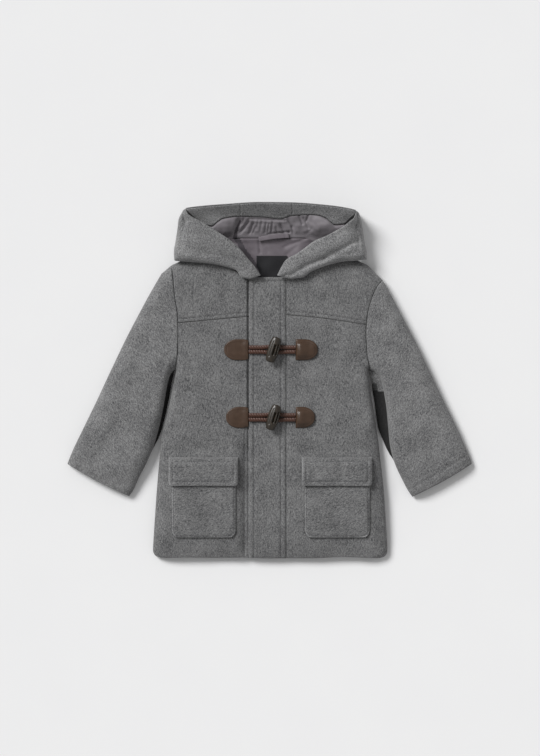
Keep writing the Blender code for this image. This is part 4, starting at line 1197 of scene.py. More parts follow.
@dataclass
class Body:
    """Back, two fronts, shoulder yokes and the placket strip, padded and laid flat."""

    form: CoatForm
    cloth: WoolFlannel = WoolFlannel()
    stitch_inset: float = 6.5          # from the placket's edge
    yoke_stitch: float = 5.0           # above the yoke's seam
    hem_line: float = 17.0             # above the hem
    corner: float = 6.0                # rounded top corner of the placket

    def sewn_lines(self) -> list[SewnLine]:
        """Stitched lines of the fronts and yokes.

        Returns:
            The left yoke's line, the right one's and the hem's.
        """
        left, right = (tuple((x, y + self.yoke_stitch) for x, y in seam)
                       for seam in (YOKE_SEAM_LEFT, YOKE_SEAM_RIGHT))
        return [SewnLine(left, 0.5), SewnLine(right, 0.5), SewnLine(self.hem_stitches(), 0.55, 0.2)]

    def hem_stitches(self) -> tuple[Point, ...]:
        """Line along which the hem's turn-up is caught down."""
        return (-152.0, HEM_Y + self.hem_line), (153.0, HEM_Y + self.hem_line)

    def placket_lines(self) -> list[SewnLine]:
        """Stitched lines of the placket.

        Returns:
            The lines, left one first.
        """
        left, right = PLACKET_LEFT + self.stitch_inset, PLACKET_RIGHT - self.stitch_inset
        return [SewnLine(((left, HEM_Y), (left, 124.0), (left + 4, 128.5), (PLACKET_RIGHT, 129.0)), 0.6, 0.3),
                SewnLine(((right, HEM_Y), (right, 129.0)), 0.8, 0.28)]

    def front_top(self, x: Array, y: Array) -> Array:
        """Outside of the left front and yoke with their sewing."""
        return self.form.front(x, y) - sewn(x, y, self.sewn_lines())

    def plain_top(self, x: Array, y: Array) -> Array:
        """Outside of the right front and yoke with their sewing."""
        return self.form.top(x, y) - sewn(x, y, self.sewn_lines())

    def placket_face(self, x: Array, y: Array) -> Array:
        """Outside of the placket with its sewing."""
        return self.form.placket_top(x, y) - sewn(x, y, self.placket_lines())

    def surface(self, x: Array, y: Array) -> Array:
        """Outside of the fastened coat, placket included.

        Args:
            x: mm across the coat.
            y: mm up the coat.

        Returns:
            Heights in mm.
        """
        on = (x > PLACKET_LEFT - 2) & (x < PLACKET_RIGHT + 2) & (y < PLACKET_TOP + 2)
        beside = np.where(x < 0, self.form.front(x, y), self.form.top(x, y))
        return np.where(on, self.form.placket_top(x, y), beside)

    def _sunk_columns(self, lower: Callable[[Array], Array], upper: Callable[[Array], Array],
                      upward: Array) -> Array:
        """Columns of the left front or yoke from where it dips to its hidden edge.

        Args:
            lower: y of the lower edge for each x.
            upper: y of the upper edge.
            upward: shares of the way up.

        Returns:
            Grid of plan points.
        """
        hidden = PLACKET_RIGHT - SEAM_GAP
        xs = np.r_[np.arange(SINK_START + 1.6, -35, 1.6), np.arange(-35, -26, 0.55),
                   np.arange(-25, hidden, 4.5), hidden]
        y = mix(lower(xs), upper(xs), upward[:, None])
        return np.dstack([np.broadcast_to(xs, y.shape), y])

    def hung(self, plan: Array) -> Array:
        """Plan points with the lower edge a little uneven, as a laid hem is.

        Args:
            plan: grid of plan points.

        Returns:
            The same grid, moved.
        """
        x, y = plan[..., 0], plan[..., 1]
        drop = 0.7 * undulation(x, 0 * x, 71, 64.0) - 0.8 * bell(x + 3.0, 30.0)
        return np.dstack([x, y + drop * smooth((HEM_Y + 30.0 - y) / 30.0)])

    def back(self) -> Piece:
        """Back panel, face down.

        Returns:
            The panel.
        """
        across, upward = cloth_axis(290, 3.2), cloth_axis(400, 3.2)
        y_left, y_right = mix(HEM_Y, LEFT.tip[1], upward), mix(HEM_Y, RIGHT.tip[1], upward)
        left = np.stack([self.form.side(y_left, -1), y_left], -1)
        right = np.stack([self.form.side(y_right, 1), y_right], -1)
        lower = mix(left[0], right[0], across[:, None])
        plan = self.hung(coons(left, right, lower, path_points(BACK_TOP, across), across, upward))
        x, y = plan[..., 0], plan[..., 1]
        hem = SewnLine(self.hem_stitches(), 0.35, 0.1).sunk(x, y)
        crumple = 0.28 * (1 + undulation(x, y, 23, 48.0)) + hem
        under = self.form.back_outside(x, y) + np.clip(crumple, 0, 1.2) * self.form.roundness(x, y, 16.0)
        rise = 0.7 * edge_drop(plan, (Edge.TUCKED, Edge.TUCKED, Edge.TURNED, Edge.TUCKED))
        inside = self.form.back_inside(x, y)
        under = np.minimum(under + rise, inside - 0.5)
        return shell("back", np.dstack([x, y, inside]), np.dstack([x, y, under]))

    def front_left(self) -> Piece:
        """Left front, running on under the placket.

        Returns:
            The panel.
        """
        seam = outline([(x, y - SEAM_GAP) for x, y in YOKE_SEAM_LEFT])
        across, upward = cloth_axis(92)[None, :-1], cloth_axis(305)[:, None]
        y = mix(HEM_Y, seam(mix(-118.4, SINK_START, across)), upward)
        main = np.dstack([mix(self.form.side(y, -1), SINK_START, across), y])
        dipped = self._sunk_columns(lambda x: np.full(np.shape(x), HEM_Y), seam, upward[:, 0])
        plan = self.hung(np.concatenate([main, dipped], 1))
        return panel("front_left", plan, self.front_top, lambda x, y: self.form.front_inside(x, y, True),
                     (Edge.TUCKED, Edge.TUCKED, Edge.HEM, Edge.SEAM))

    def front_right(self) -> Piece:
        """Right front, from the placket's seam to the folded side.

        Returns:
            The panel.
        """
        seam_points = [(x, y - SEAM_GAP) for x, y in YOKE_SEAM_RIGHT]
        seam, start = outline(seam_points), PLACKET_RIGHT + SEAM_GAP
        across, upward = cloth_axis(125), cloth_axis(305)
        y_left, y_right = mix(HEM_Y, seam_points[0][1], upward), mix(HEM_Y, seam_points[-1][1], upward)
        left = np.stack([np.full(y_left.shape, start), y_left], -1)
        right = np.stack([self.form.side(y_right, 1), y_right], -1)
        low_x = mix(start, self.form.side(HEM_Y, 1), across)
        high_x = mix(start, seam_points[-1][0], across)
        plan = coons(left, right, np.stack([low_x, np.full(low_x.shape, HEM_Y)], -1),
                     np.stack([high_x, seam(high_x)], -1), across, upward)
        return panel("front_right", self.hung(plan), self.plain_top,
                     lambda x, y: self.form.front_inside(x, y, False),
                     (Edge.SEAM, Edge.TUCKED, Edge.HEM, Edge.SEAM))

    def yoke_left(self) -> Piece:
        """Left shoulder yoke, running on under the placket.

        Returns:
            The panel.
        """
        seam, neck = outline(YOKE_SEAM_LEFT), outline(NECKLINE_LEFT)
        corner_y, start_y = float(neck(SINK_START)), float(seam(SINK_START))
        beside = tuple(p for p in NECKLINE_LEFT[1:] if p[0] < SINK_START)
        top_line = (*SHOULDER_LEFT, *beside, (SINK_START, corner_y))
        across, upward = cloth_axis(85), cloth_axis(80, lines=(5.5,))
        y_left = mix(YOKE_SEAM_LEFT[0][1], LEFT.tip[1], upward)
        low_x = mix(YOKE_SEAM_LEFT[0][0], SINK_START, across)
        plan = coons(np.stack([self.form.side(y_left, -1), y_left], -1),
                     np.stack([np.full(y_left.shape, SINK_START), mix(start_y, corner_y, upward)], -1),
                     np.stack([low_x, seam(low_x)], -1), path_points(top_line, across), across, upward)
        plan = np.concatenate([plan, self._sunk_columns(seam, neck, upward)], 1)
        return panel("yoke_left", plan, self.front_top, lambda x, y: self.form.front_inside(x, y, True),
                     (Edge.TUCKED, Edge.TUCKED, Edge.SEAM, Edge.SEAM))

    def yoke_right(self) -> Piece:
        """Right shoulder yoke.

        Returns:
            The panel.
        """
        seam, start = outline(YOKE_SEAM_RIGHT), PLACKET_RIGHT + SEAM_GAP
        across, upward = cloth_axis(125), cloth_axis(80, lines=(5.5,))
        top_line = NECKLINE_RIGHT + tuple(reversed(SHOULDER_RIGHT[:-1]))
        y_left = mix(YOKE_SEAM_RIGHT[0][1], NECKLINE_RIGHT[0][1], upward)
        y_right = mix(YOKE_SEAM_RIGHT[-1][1], RIGHT.tip[1], upward)
        low_x = mix(start, YOKE_SEAM_RIGHT[-1][0], across)
        plan = coons(np.stack([np.full(y_left.shape, start), y_left], -1),
                     np.stack([self.form.side(y_right, 1), y_right], -1),
                     np.stack([low_x, seam(low_x)], -1), path_points(top_line, across), across, upward)
        return panel("yoke_right", plan, self.plain_top, lambda x, y: self.form.front_inside(x, y, False),
                     (Edge.SEAM, Edge.TUCKED, Edge.SEAM, Edge.SEAM))

    def placket(self) -> Piece:
        """Placket strip, turned in along its left edge, where its top corner is rounded.

        Returns:
            The strip.
        """
        across = cloth_axis(48, 1.8, (self.stitch_inset, 48 - self.stitch_inset))
        upward = cloth_axis(365, lines=(360.0,))
        y = mix(HEM_Y, PLACKET_TOP, upward)
        past = np.clip((y - PLACKET_TOP + self.corner) / self.corner, 0, 1)
        rounded = 0.9 * self.corner * (1 - np.sqrt(1 - past ** 2))
        left = PLACKET_LEFT + np.maximum(rounded + 0.35 * undulation(y, 0 * y, 31, 70.0), 0)
        x = mix(left[:, None], PLACKET_RIGHT, across[None, :])
        plan = np.dstack([x, np.broadcast_to(y[:, None], x.shape)])
        inside = lambda x, y: np.maximum(self.form.front(x, y) + 0.45, self.form.height(y) * (1 - SINK_SHARE))
        return panel("placket", self.hung(plan), self.placket_face, inside,
                     (Edge.TURNED, Edge.SEAM, Edge.HEM, Edge.TURNED))

    def build(self, wardrobe: Wardrobe) -> None:
        """Makes and dresses the panels and the placket.

        Args:
            wardrobe: dresses the pieces.
        """
        for piece, flat, rests_on, area in (
                (self.back(), (0.306, 0.416), [], 0.113),
                (self.front_left(), (0.172, 0.316), ["back"], 0.050),
                (self.front_right(), (0.131, 0.316), ["back"], 0.037),
                (self.yoke_left(), (0.148, 0.100), ["back"], 0.0095),
                (self.yoke_right(), (0.125, 0.102), ["back"], 0.0085),
                (self.placket(), (0.048, 0.365), ["front_left"], None)):
            wardrobe.lay(piece, self.cloth, Slot.WOOL)


@dataclass
class Sleeve:
    """One set-in sleeve, laid flat as a padded tube."""

    form: CoatForm
    name: str
    rows: Sequence[SleeveRow]
    corners: Corners
    side: int
    inner_round: float                 # share of the outer fold's rounding where the sleeve faces the body
    flat: tuple[float, float]
    cloth: WoolFlannel
    area: float
    painted_shade_from: float = -13.7           # y below which the under layer gets painted deep shade
    upper_points: int = 61             # points across the upper layer
    cuff_line: float = 15.0            # sewn line above the cuff
    # Darkened copies of the sleeve flannel: painted deep shade on the under layer in the gap beside the body,
    # painted half shade just above it.
    painted_deep_shade: WoolFlannel = WoolFlannel(name="undersleeve flannel", painted_light_factor=0.09)
    painted_half_shade: WoolFlannel = WoolFlannel(name="armpit flannel", painted_light_factor=0.42)

    def _profile(self, length: float, height: float, wall: float, reach: float, inner_share: float,
                 web: float) -> tuple[Array, Array]:
        """Section across the laid sleeve.

        Args:
            length: from the outer to the inner fold.
            height, wall: of the padded sleeve and of its cloth.
            reach: how far the under layer shows past the inner fold.
            inner_share: width of the inner fold's rounding, as a share of the outer fold's.
            web: 1 at the armpit, where the under layer stands up, 0 further down.

        Returns:
            Outside and inside as (distance from the outer fold, height, share of the top's relief).
        """
        width, low = 1.3 * height, wall + 0.45
        inner_width = width * inner_share
        turn = 1 - np.cos(np.linspace(0, QUARTER, 16))
        middle = np.linspace(width, length - inner_width, 31)[1:-1]
        s = np.r_[width * turn, middle, length - inner_width * turn[::-1]]
        lift = dome(s, width) * dome(length - s, inner_width)
        top = mix(low, height, lift)
        shown, ledge, share = float(np.clip(reach / 4, 0, 1)), mix(LEDGE_Z, WEB_Z, web), low / UNDER_FULL
        closed = np.array([(-0.1, 8.35), (-0.2, 7.9), (-0.35, 7.4), (-0.6, 6.8), (-0.8, 6.2), (-1.4, 4.4),
                           (-3.0, 2.0), (-5.6, 0.7), (-9.0, 0.0)])
        opened = np.array([(0.05, mix(ledge, UNDER_FULL, 0.5)), (0.3, ledge + 1.0), (0.9, ledge + 0.3),
                           (0.5 * reach, ledge + 0.1), (reach - 0.8, ledge), (reach - 1.0, ledge * 0.7),
                           (reach - 1.6, ledge * 0.4), (reach - 3.6, ledge * 0.14), (0.8 * reach - 9.0, 0.0)])
        under = [(length + a, b * share) for a, b in mix(closed, opened, shown)]
        floor = [(length * part, 0.0) for part in (0.85, 0.75, 0.67, 0.58, 0.5, 0.42, 0.33, 0.24, 0.15)]
        up = [(9.0 * (1 - math.sin(a)), low * (1 - math.cos(a))) for a in np.linspace(0, QUARTER, 8)[:-1]]
        outer = np.array([*zip(s, top, lift)] + [(a, b, 0.0) for a, b in under + floor + up])
        edge, count = wall + 1.0, len(outer) - len(s)
        inner_top = mix(edge, length - edge, s / length)
        lifted = dome(inner_top, width) * dome(length - inner_top, inner_width)
        roof = np.maximum(mix(low, height, lifted) - wall, wall + 1.3)
        back = np.linspace(length - edge - 0.4, edge + 0.4, count)
        ground = wall + 0.25 * bell(back - edge - 0.4, 1.5) + 0.25 * bell(length - edge - 0.4 - back, 1.5)
        inner = np.r_[np.stack([inner_top, roof, lifted], -1), np.stack([back, ground, np.zeros(count)], -1)]
        return outer, inner

    @staticmethod
    def _ring(place: Callable[[Array], Array], profile: Array) -> Array:
        """Ring of points from a section."""
        return np.column_stack([place(profile[:, 0]), profile[:, 1:]])

    def _rings(self) -> tuple[Array, Array]:
        """Outer and inner rings from the armhole to the cuff, before their relief.

        Returns:
            Two grids of points, each with its share of the relief.
        """
        table, cuff = Table(self.rows), len(self.rows) - 1
        head_y = self.corners.tip[1]
        depth = head_y - self.corners.underarm[1]

        def armhole(s: Array) -> Array:
            """Plan points at distances down the armhole."""
            y = head_y - np.clip(s, 0, depth)
            return np.column_stack([self.form.side(y, self.side) + self.side * ARMHOLE_GAP, y])

        middle_y = np.array(80.0)
        height, wall = float(self.form.height(middle_y)), float(self.form.wall(middle_y))
        head = self._profile(depth, height, wall, 0.0, 1.0, 1.0)
        first = [self._ring(armhole, part) for part in head]
        near_head = np.array([0.0, 0.03, 0.07, 0.12, 0.18, 0.26, 0.36, 0.5, 0.66, 0.83]) - 1
        near_cuff = cuff - np.array([0.6, 0.42, 0.28, 0.17, 0.09, 0.035, 0.0])
        middles = [np.array([r.outer_x + r.inner_x, r.outer_y + r.inner_y]) / 2 for r in self.rows[-2:]]
        down = (middles[1] - middles[0]) / np.linalg.norm(middles[1] - middles[0])
        outer, inner = [], []
        for u in np.r_[near_head, np.linspace(0, cuff, 118)[:-6], near_cuff]:
            bulge = 1.8 * float(smooth(u - cuff + 1.5))
            row = {n: float(table.read(n, np.array(max(u, 0.0)))) for n in table.names}
            start, end = (np.array([row[f"{fold}_x"], row[f"{fold}_y"]]) for fold in ("outer", "inner"))
            length = float(np.linalg.norm(end - start))
            way = (end - start) / length
            share = mix(self.inner_round, 1.0, float(smooth((-100.0 - end[1]) / 40.0)))
            web = 1.0 - float(smooth((6.0 - end[1]) / 20.0))
            parts = self._profile(length, row["height"], row["wall"], row["reach"], share, web)

            def across(s: Array) -> Array:
                """Plan points at distances from the outer fold, past the inner one straight to the body."""
                spots = start + np.minimum(s, length)[:, None] * way \
                    + bulge * np.sin(np.pi * np.clip(s / length, 0, 1))[:, None] * down
                return spots - np.array([self.side, 0.0]) * np.maximum(s - length, 0)[:, None]

            rings = [self._ring(across, part) for part in parts]
            if u < 0:
                rings = [mix(a, b, u + 1) for a, b in zip(first, rings)]
            outer.append(rings[0])
            inner.append(rings[1])
        return np.array(outer), np.array(inner)

    def build(self, wardrobe: Wardrobe) -> None:
        """Makes and dresses the sleeve.

        Args:
            wardrobe: dresses the pieces.
        """
        outer, inner = self._rings()
        upper, under = outer[:, :self.upper_points], outer[:, self.upper_points:]
        run = np.r_[0.0, np.cumsum(np.linalg.norm(np.diff(upper[..., :2].mean(1), axis=0), axis=1))]
        to_cuff = run[-1] - run
        roll = np.maximum(1.5 * (1 - dome(run, 3.2)), 1.9 * (1 - dome(to_cuff, 2.8)))[:, None]
        above = to_cuff - self.cuff_line
        hem = (0.55 * bell(above, 1.6) - 0.25 * bell(above - 4.0, 2.4))[:, None]
        x, y, lift = outer[..., 0], outer[..., 1], outer[..., 3]
        relief = fold_depth(x, y, FOLDS) - 0.5 * undulation(x, y, 7, 58.0) - 0.22 * undulation(x, y, 9, 20.0)
        calm = smooth(run / 14.0)[:, None]
        outer[..., 2] -= lift * (relief * calm + hem)
        upper[..., 2] -= roll
        under[..., 2] += 0.6 * roll * (under[..., 2] < 3.0)
        inner[..., 2] -= inner[..., 3] * fold_depth(inner[..., 0], inner[..., 1], FOLDS) * calm
        made = tube(self.name, outer[..., :3], inner[..., :3])
        wardrobe.lay(made, self.cloth, Slot.WOOL)
        # Painted shade on the under layer between sleeve and body: half shade first, then deep shade below
        # it.
        for finish, rise, share in ((self.painted_half_shade, 9.0, 0.35), (self.painted_deep_shade, 0.0, 0.0)):
            wardrobe.dress_some(made, finish,
                                lambda x, y, z: self._gets_painted_shade(x, y, z, self.painted_shade_from + rise, share))

    def _gets_painted_shade(self, x: Array, y: Array, z: Array, start: float, share: float) -> Array:
        """Which places of the under layer, deep down between sleeve and body, get painted shade.

        Args:
            x: mm across the coat.
            y: mm up the coat.
            z: heights, in mm.
            start: y below which the shade is painted.
            share: how far in from the fold it starts, as a share of the under layer.

        Returns:
            True where the place gets painted shade.
        """
        levels = [-row.inner_y for row in self.rows]
        fold, reach = (np.interp(-y, levels, [getattr(row, name) for row in self.rows])
                       for name in ("inner_x", "reach"))
        low, high = 0.4, mix(4.4, 8.6, smooth((y + 20.0) / 6.0))
        along = (y > -112) & (y < start + 1.2 * undulation(x, y, 83, 7.0))
        return along & (z > low) & (z < high) & ((fold - x) * self.side > share * reach - 0.4)


@dataclass
class Hood:
    """The hood, open and folded down: two sides lying on the yokes, folded layers, facing and lining."""

    body: Body
    # The hood's flannel is 1.27 times lighter than the body's, and the turned flannel of the right side and
    # the facings 1.58 times: painted light.
    cloth: WoolFlannel = WoolFlannel(name="hood flannel", grain=0.35, painted_light_factor=1.27)
    turned: WoolFlannel = WoolFlannel(name="turned hood flannel", grain=-0.5, painted_light_factor=1.58)
    # The gathered lining has the neck lining's colours made lighter: painted light.
    gathered: LiningCloth = LiningCloth("gathered lining", "#696568", "#868186")
    rim_wall: float = 4.6
    fold_round: float = 14.0
    tail: float = 1.6
    rim_z: float = 43.0
    neck_z: float = 13.0
    far_edge: float = 2.8
    neck_overlap: float = 2.8          # how far the gathered lining comes over the back neck seam
    inside_under: float = 5.4
    facing_cloth: float = 3.6
    lining_cloth: float = 2.4
    seam_left: float = -38.3           # x of the facing's seams
    seam_right: float = 28.9
    # Path along the lining's deep crease where shade is painted.
    deep_fold: tuple[Point, ...] = ((-38.5, 206.0), (-43.0, 197.0), (-45.0, 186.0))
    folds: tuple[Fold, ...] = rows_of(Fold,
        (115, 181.5, 70.5, 158, 3.0, 2.3), (70.5, 158, 42, 145, 3.0, 2.6), (42, 145, 27, 135.5, 2.4, 1.6),
        (108, 190, 72, 172, 6.0, -0.7), (110, 172, 70, 152, 4.5, -0.6), (-110, 176, -74, 164, 8.0, 0.8),
        (-62, 160, -34, 141, 4.0, 1.1), (-100, 196, -84, 184, 7.0, 0.6), (96, 192, 84, 180, 7.0, 0.5),
    )

    def inside(self, x: Array, y: Array) -> Array:
        """Inside surface of the opened hood, from the back neck seam up to its far edge.

        Args:
            x: mm across the coat.
            y: mm up the coat.

        Returns:
            Heights in mm.
        """
        front = outline(CROWN_FRONT)(np.clip(x, -CROWN_END, CROWN_END)) - 2.3
        far = outline(HOOD_TOP)(x) - self.far_edge
        share = np.clip((y - front) / (far - front), 0, 1)
        height = self.neck_z + (self.rim_z - self.neck_z) * (0.45 * share + 0.55 * share * share)
        return height + billow(x, y, PUFFS) * (1 - smooth((share - 0.6) / 0.3))

    def side(self, name: str, rows: Sequence[HoodRow]) -> Piece:
        """One side of the hood, from the turned edge of the face opening over its fold to the yoke.

        Args:
            name: the piece's name.
            rows: its sections, from the yoke's end on.

        Returns:
            The side.
        """
        table = Table(rows)
        last = len(rows) - 1
        fixed = [(k, row.base) for k, row in enumerate(rows) if row.base != ON_COAT]
        stations = last * cloth_axis(150, 2.2)
        outer, inner = [], []
        for u in stations:
            at = {n: float(table.read(n, np.array(u))) for n in table.names}
            rim, fold = np.array([at["rim_x"], at["rim_y"]]), np.array([at["fold_x"], at["fold_y"]])
            length = float(np.linalg.norm(fold - rim))
            way = (fold - rim) / length
            low_wide = at["wall"] + self.tail
            feet = rim + way * (length - low_wide + np.array([[-1.2], [1.2]]))
            on_coat = float(np.max(self.body.surface(feet[:, 0], feet[:, 1]))) + 0.6
            free = float(np.interp(u, [k for k, _ in fixed], [b for _, b in fixed]))
            base = mix(on_coat, free, float(np.clip(u - fixed[0][0] + 1, 0, 1)))
            for target, path in zip((outer, inner), self._section(at, length, base)):
                target.append(np.column_stack([rim + path[:, :1] * way, path[:, 1:]]))
        outer, inner = np.array(outer), np.array(inner)
        for part, share in ((outer, 1.0), (inner, 0.8)):
            x, y, free = part[..., 0], part[..., 1], part[..., 3]
            swell = 0.45 * undulation(x, y, 13, 52.0) + 0.2 * undulation(x, y, 14, 18.0)
            part[..., 2] -= share * free * (fold_depth(x, y, self.folds) - swell)
        ends = np.minimum(stations, last - stations) * 12.0
        outer[..., 2] -= 1.4 * (1 - dome(ends, 3.0))[:, None] * outer[..., 3]
        return shell(name, outer[..., :3], inner[..., :3])

    def _section(self, at: dict[str, float], length: float, base: float) -> tuple[Array, Array]:
        """Outer and inner path of one section as (distance from the rim, height, share of the relief).

        Args:
            at: the section's measures.
            length: from rim to fold.
            base: height it lies at.

        Returns:
            Outer and inner path.
        """
        wall, fold_z, rim_z = at["wall"], at["fold_z"], at["rim_z"]
        wide = max(min(self.fold_round, length * 0.55), wall + 1.5)
        low_wide, flat = wall + self.tail, length - wide
        middle = mix(base, fold_z, 0.45)
        tall_in, drop = max(fold_z - wall - middle, 0.4), middle - base
        share = np.r_[0.0, 0.012, 0.03, 0.055, 0.09, 0.14, np.linspace(0.2, 1.0, 25)]
        s = flat * share
        top = mix(rim_z, fold_z, share) + 1.5 * np.sin(np.pi * share)
        turn, low = np.linspace(0, QUARTER, 11)[1:], np.linspace(0, QUARTER, 8)[1:]
        edge = 1.9 * (1 - dome(s, 2.4))
        thick = mix(self.rim_wall, wall, smooth(s / 16.0))

        def path(over: Array, reach: float, tall: float, foot: float, tuck: float) -> Array:
            """Path over the top, round the fold and down to the foot.

            Args:
                over: heights over the top.
                reach: width of the fold.
                tall: height of the fold.
                foot: where the foot ends.
                tuck: how far the foot is drawn in.

            Returns:
                Rows of the path.
            """
            return np.concatenate([
                np.stack([s, over, np.minimum(1, s / 6)], -1),
                np.stack([flat + reach * np.sin(turn), middle + tall * np.cos(turn), np.cos(turn)], -1),
                np.stack([foot - tuck * (1 - np.cos(low)), middle - drop * np.sin(low), 0 * low], -1)])

        return (path(top - edge, wide, fold_z - middle, length, low_wide - 1.2),
                path(top - thick + 0.6 * edge, wide - wall, tall_in, length - wall, low_wide + 1.2 - wall))

    def crown(self) -> Piece:
        """Folded layers below the opened hood, with the outer cloth's rolled edge along the top.

        Returns:
            The folded layers.
        """
        stations = np.r_[-108.4, -108.1, -107.4, -106.4, -105.4, -104.2,
                         np.linspace(-CROWN_END, CROWN_END, 84),
                         104.6, 106.2, 107.6, 109.0, 110.2, 111.0, 111.4]
        front, top_line = outline(CROWN_FRONT), outline(HOOD_TOP)
        rings = []
        for x in stations:
            near, far = float(front(x)), float(top_line(x))
            rounding = float(dome(min(x - stations[0], stations[-1] - x), 9.0))
            tall, edge = mix(0.985, 1.0, rounding), min(self.far_edge, 0.42 * (far - near))
            y = np.linspace(near, far - edge, 15)
            arch = 0.4 * np.sin(np.linspace(0, np.pi, 15))
            top = (self.inside(np.full(15, x), y) - self.inside_under) * tall + arch
            rim = (self.rim_z - 1.0 + 0.5 * undulation(np.array(x), np.array(0.0), 41, 60.0)) * tall
            roll = np.sin(np.linspace(0, QUARTER, 6)[:-1])
            back = [(far - edge * (0.7 - 0.4 * a), rim - 0.8 + 0.8 * a) for a in roll]
            for k in np.linspace(0.4, 12, 36):
                layer = 2 * (k / 4 % 1) - 1
                groove = 1 - math.sqrt(max(0.0, 1 - layer ** 2))
                back.append((far - 0.6 * edge * rounding * groove * min(1.0, k), rim * (1 - k / 12)))
            floor = [(mix(far, near, 0.5), 0.0), (mix(far, near, 0.95), 0.0), (near, 0.8)]
            rings.append([(x, a, b) for a, b in [*zip(y, top), *back, *floor]])
        return solid("hood_crown", np.array(rings))

    def _to_rim(self, y: Array, rows: Sequence[HoodRow], gap: float, end: float) -> Array:
        """How far a facing's end moves to meet a hood side's turned edge; 0 where it meets another facing.

        Args:
            y: places along the end.
            rows: the hood side's sections.
            gap: room left between them.
            end: x of the end.

        Returns:
            Distances in mm.
        """
        if abs(end) < 100 or (end < 0) != (gap > 0):
            return np.zeros(np.shape(y))
        rims = np.array([(row.rim_y, row.rim_x) for row in rows[-4:]])
        return np.interp(y, rims[:, 0], rims[:, 1]) + gap - end

    def _facing(self, name: str, start: float, stop: float) -> Piece:
        """One piece of the flannel facing along the far edge.

        Args:
            name: the piece's name.
            start: x of its left end.
            stop: x of its right end.

        Returns:
            The piece.
        """
        front, top_line = outline([(x, y + 2 * SEAM_GAP) for x, y in FACING_FRONT]), outline(HOOD_TOP)
        across, upward = cloth_axis(stop - start, 2.0), cloth_axis(16.0, 1.6)
        x = mix(start, stop, across)[None, :]
        y = mix(front(x), top_line(x) - 0.78 * self.far_edge, upward[:, None])
        x = x + self._to_rim(y, HOOD_LEFT, 0.45, start) * np.exp((start - x) / 2.0) \
            + self._to_rim(y, HOOD_RIGHT, -0.45, stop) * np.exp((x - stop) / 2.0)
        plan = np.dstack([x, y])
        swell = lambda x, y: self.inside(x, y) + 0.3 * undulation(x, y, 19, 34.0) - 0.3
        line = outline([(x, y + 4.0) for x, y in FACING_FRONT])
        outside = lambda x, y: swell(x, y) - 0.35 * bell(y - line(x), 1.2)
        ends = [Edge.BOUND if abs(x) > 100 else Edge.SEAM for x in (start, stop)]
        return panel(name, plan, outside, lambda x, y: self.inside(x, y) - self.facing_cloth,
                     (*ends, Edge.TURNED, Edge.BOUND))

    billows: tuple[Puff, ...] = rows_of(Puff,
        (-57, 198, 13, 11, 4.6), (70, 200, 19, 10, 4.4), (-80, 192, 10, 8, 1.8), (86, 191, 12, 8, 1.8),
        (-8, 199, 19, 8, 2.0), (37, 198, 9, 9, 2.2), (-55, 186, 8, 6, 2.0), (54, 190, 9, 7, 1.6),
    )

    def lined(self, x: Array, y: Array) -> Array:
        """Outside of the hood's gathered lining.

        Args:
            x: mm across the coat.
            y: mm up the coat.

        Returns:
            Heights in mm.
        """
        front = outline(CROWN_FRONT)(np.clip(x, -CROWN_END, CROWN_END))
        calm = smooth((y - front) / 6.0)
        swell = 0.5 * undulation(x, y, 29, 22.0) + 0.3 * undulation(x, y, 30, 8.0)
        relief = np.clip(fold_depth(x, y, LINING_PLEATS) - swell, -1.2, 3.9)
        free = smooth((outline(FACING_FRONT)(x) - y) / 3.5) * billow(x, y, self.billows)
        return self.inside(x, y) + calm * (free - relief)

    def lining_panel(self) -> Piece:
        """Lining of the hood, gathered below the facing.

        Returns:
            The lining.
        """
        near, far = outline(CROWN_FRONT), outline(FACING_FRONT)
        x = mix(-98.0, 97.0, cloth_axis(195, 0.9))[None, :]
        over = self.neck_overlap + 3.2 * bell(np.abs(x) - 56.0, 6.5)
        start = near(x) - over * smooth((74.0 - np.abs(x)) / 10.0)
        y = mix(start, far(x) - SEAM_GAP, cloth_axis(27, 0.9)[:, None])
        plan = np.dstack([np.broadcast_to(x, y.shape), y])
        inside = lambda x, y: np.maximum(self.lined(x, y) - self.lining_cloth, self.inside(x, y) - 4.9)
        return panel("hood_lining", plan, self.lined, inside, (Edge.SEAM,) * 4)

    def build(self, wardrobe: Wardrobe) -> None:
        """Makes and dresses the hood's pieces.

        Args:
            wardrobe: dresses the pieces.
        """
        wool = Slot.WOOL
        # The right side gets the flannel with more painted light than the left.
        for hand, rows, finish in (("left", HOOD_LEFT, self.cloth), ("right", HOOD_RIGHT, self.turned)):
            wardrobe.lay(self.side(f"hood_side_{hand}", rows), finish, wool)
        wardrobe.lay(self.crown(), self.cloth, wool)
        runs = (("hood_facing_left", -105.4, self.seam_left - 0.15, (0.066, 0.020)),
                ("hood_facing_centre", self.seam_left + 0.15, self.seam_right - 0.15, (0.068, 0.020)),
                ("hood_facing_right", self.seam_right + 0.15, 109.8, (0.076, 0.020)))
        for name, start, stop, flat in runs:
            wardrobe.lay(self._facing(name, start, stop), self.turned, wool)
        made = self.lining_panel()
        wardrobe.lay(made, self.gathered, Slot.LINING)
        # Painted shade along the deep crease left of the gathers.
        wardrobe.dress_some(made, PAINTED_CREASE_SHADE, lambda x, y, z: line_distance(x, y, self.deep_fold)
                            < 1.5 + 0.9 * smooth((200 - y) / 12))


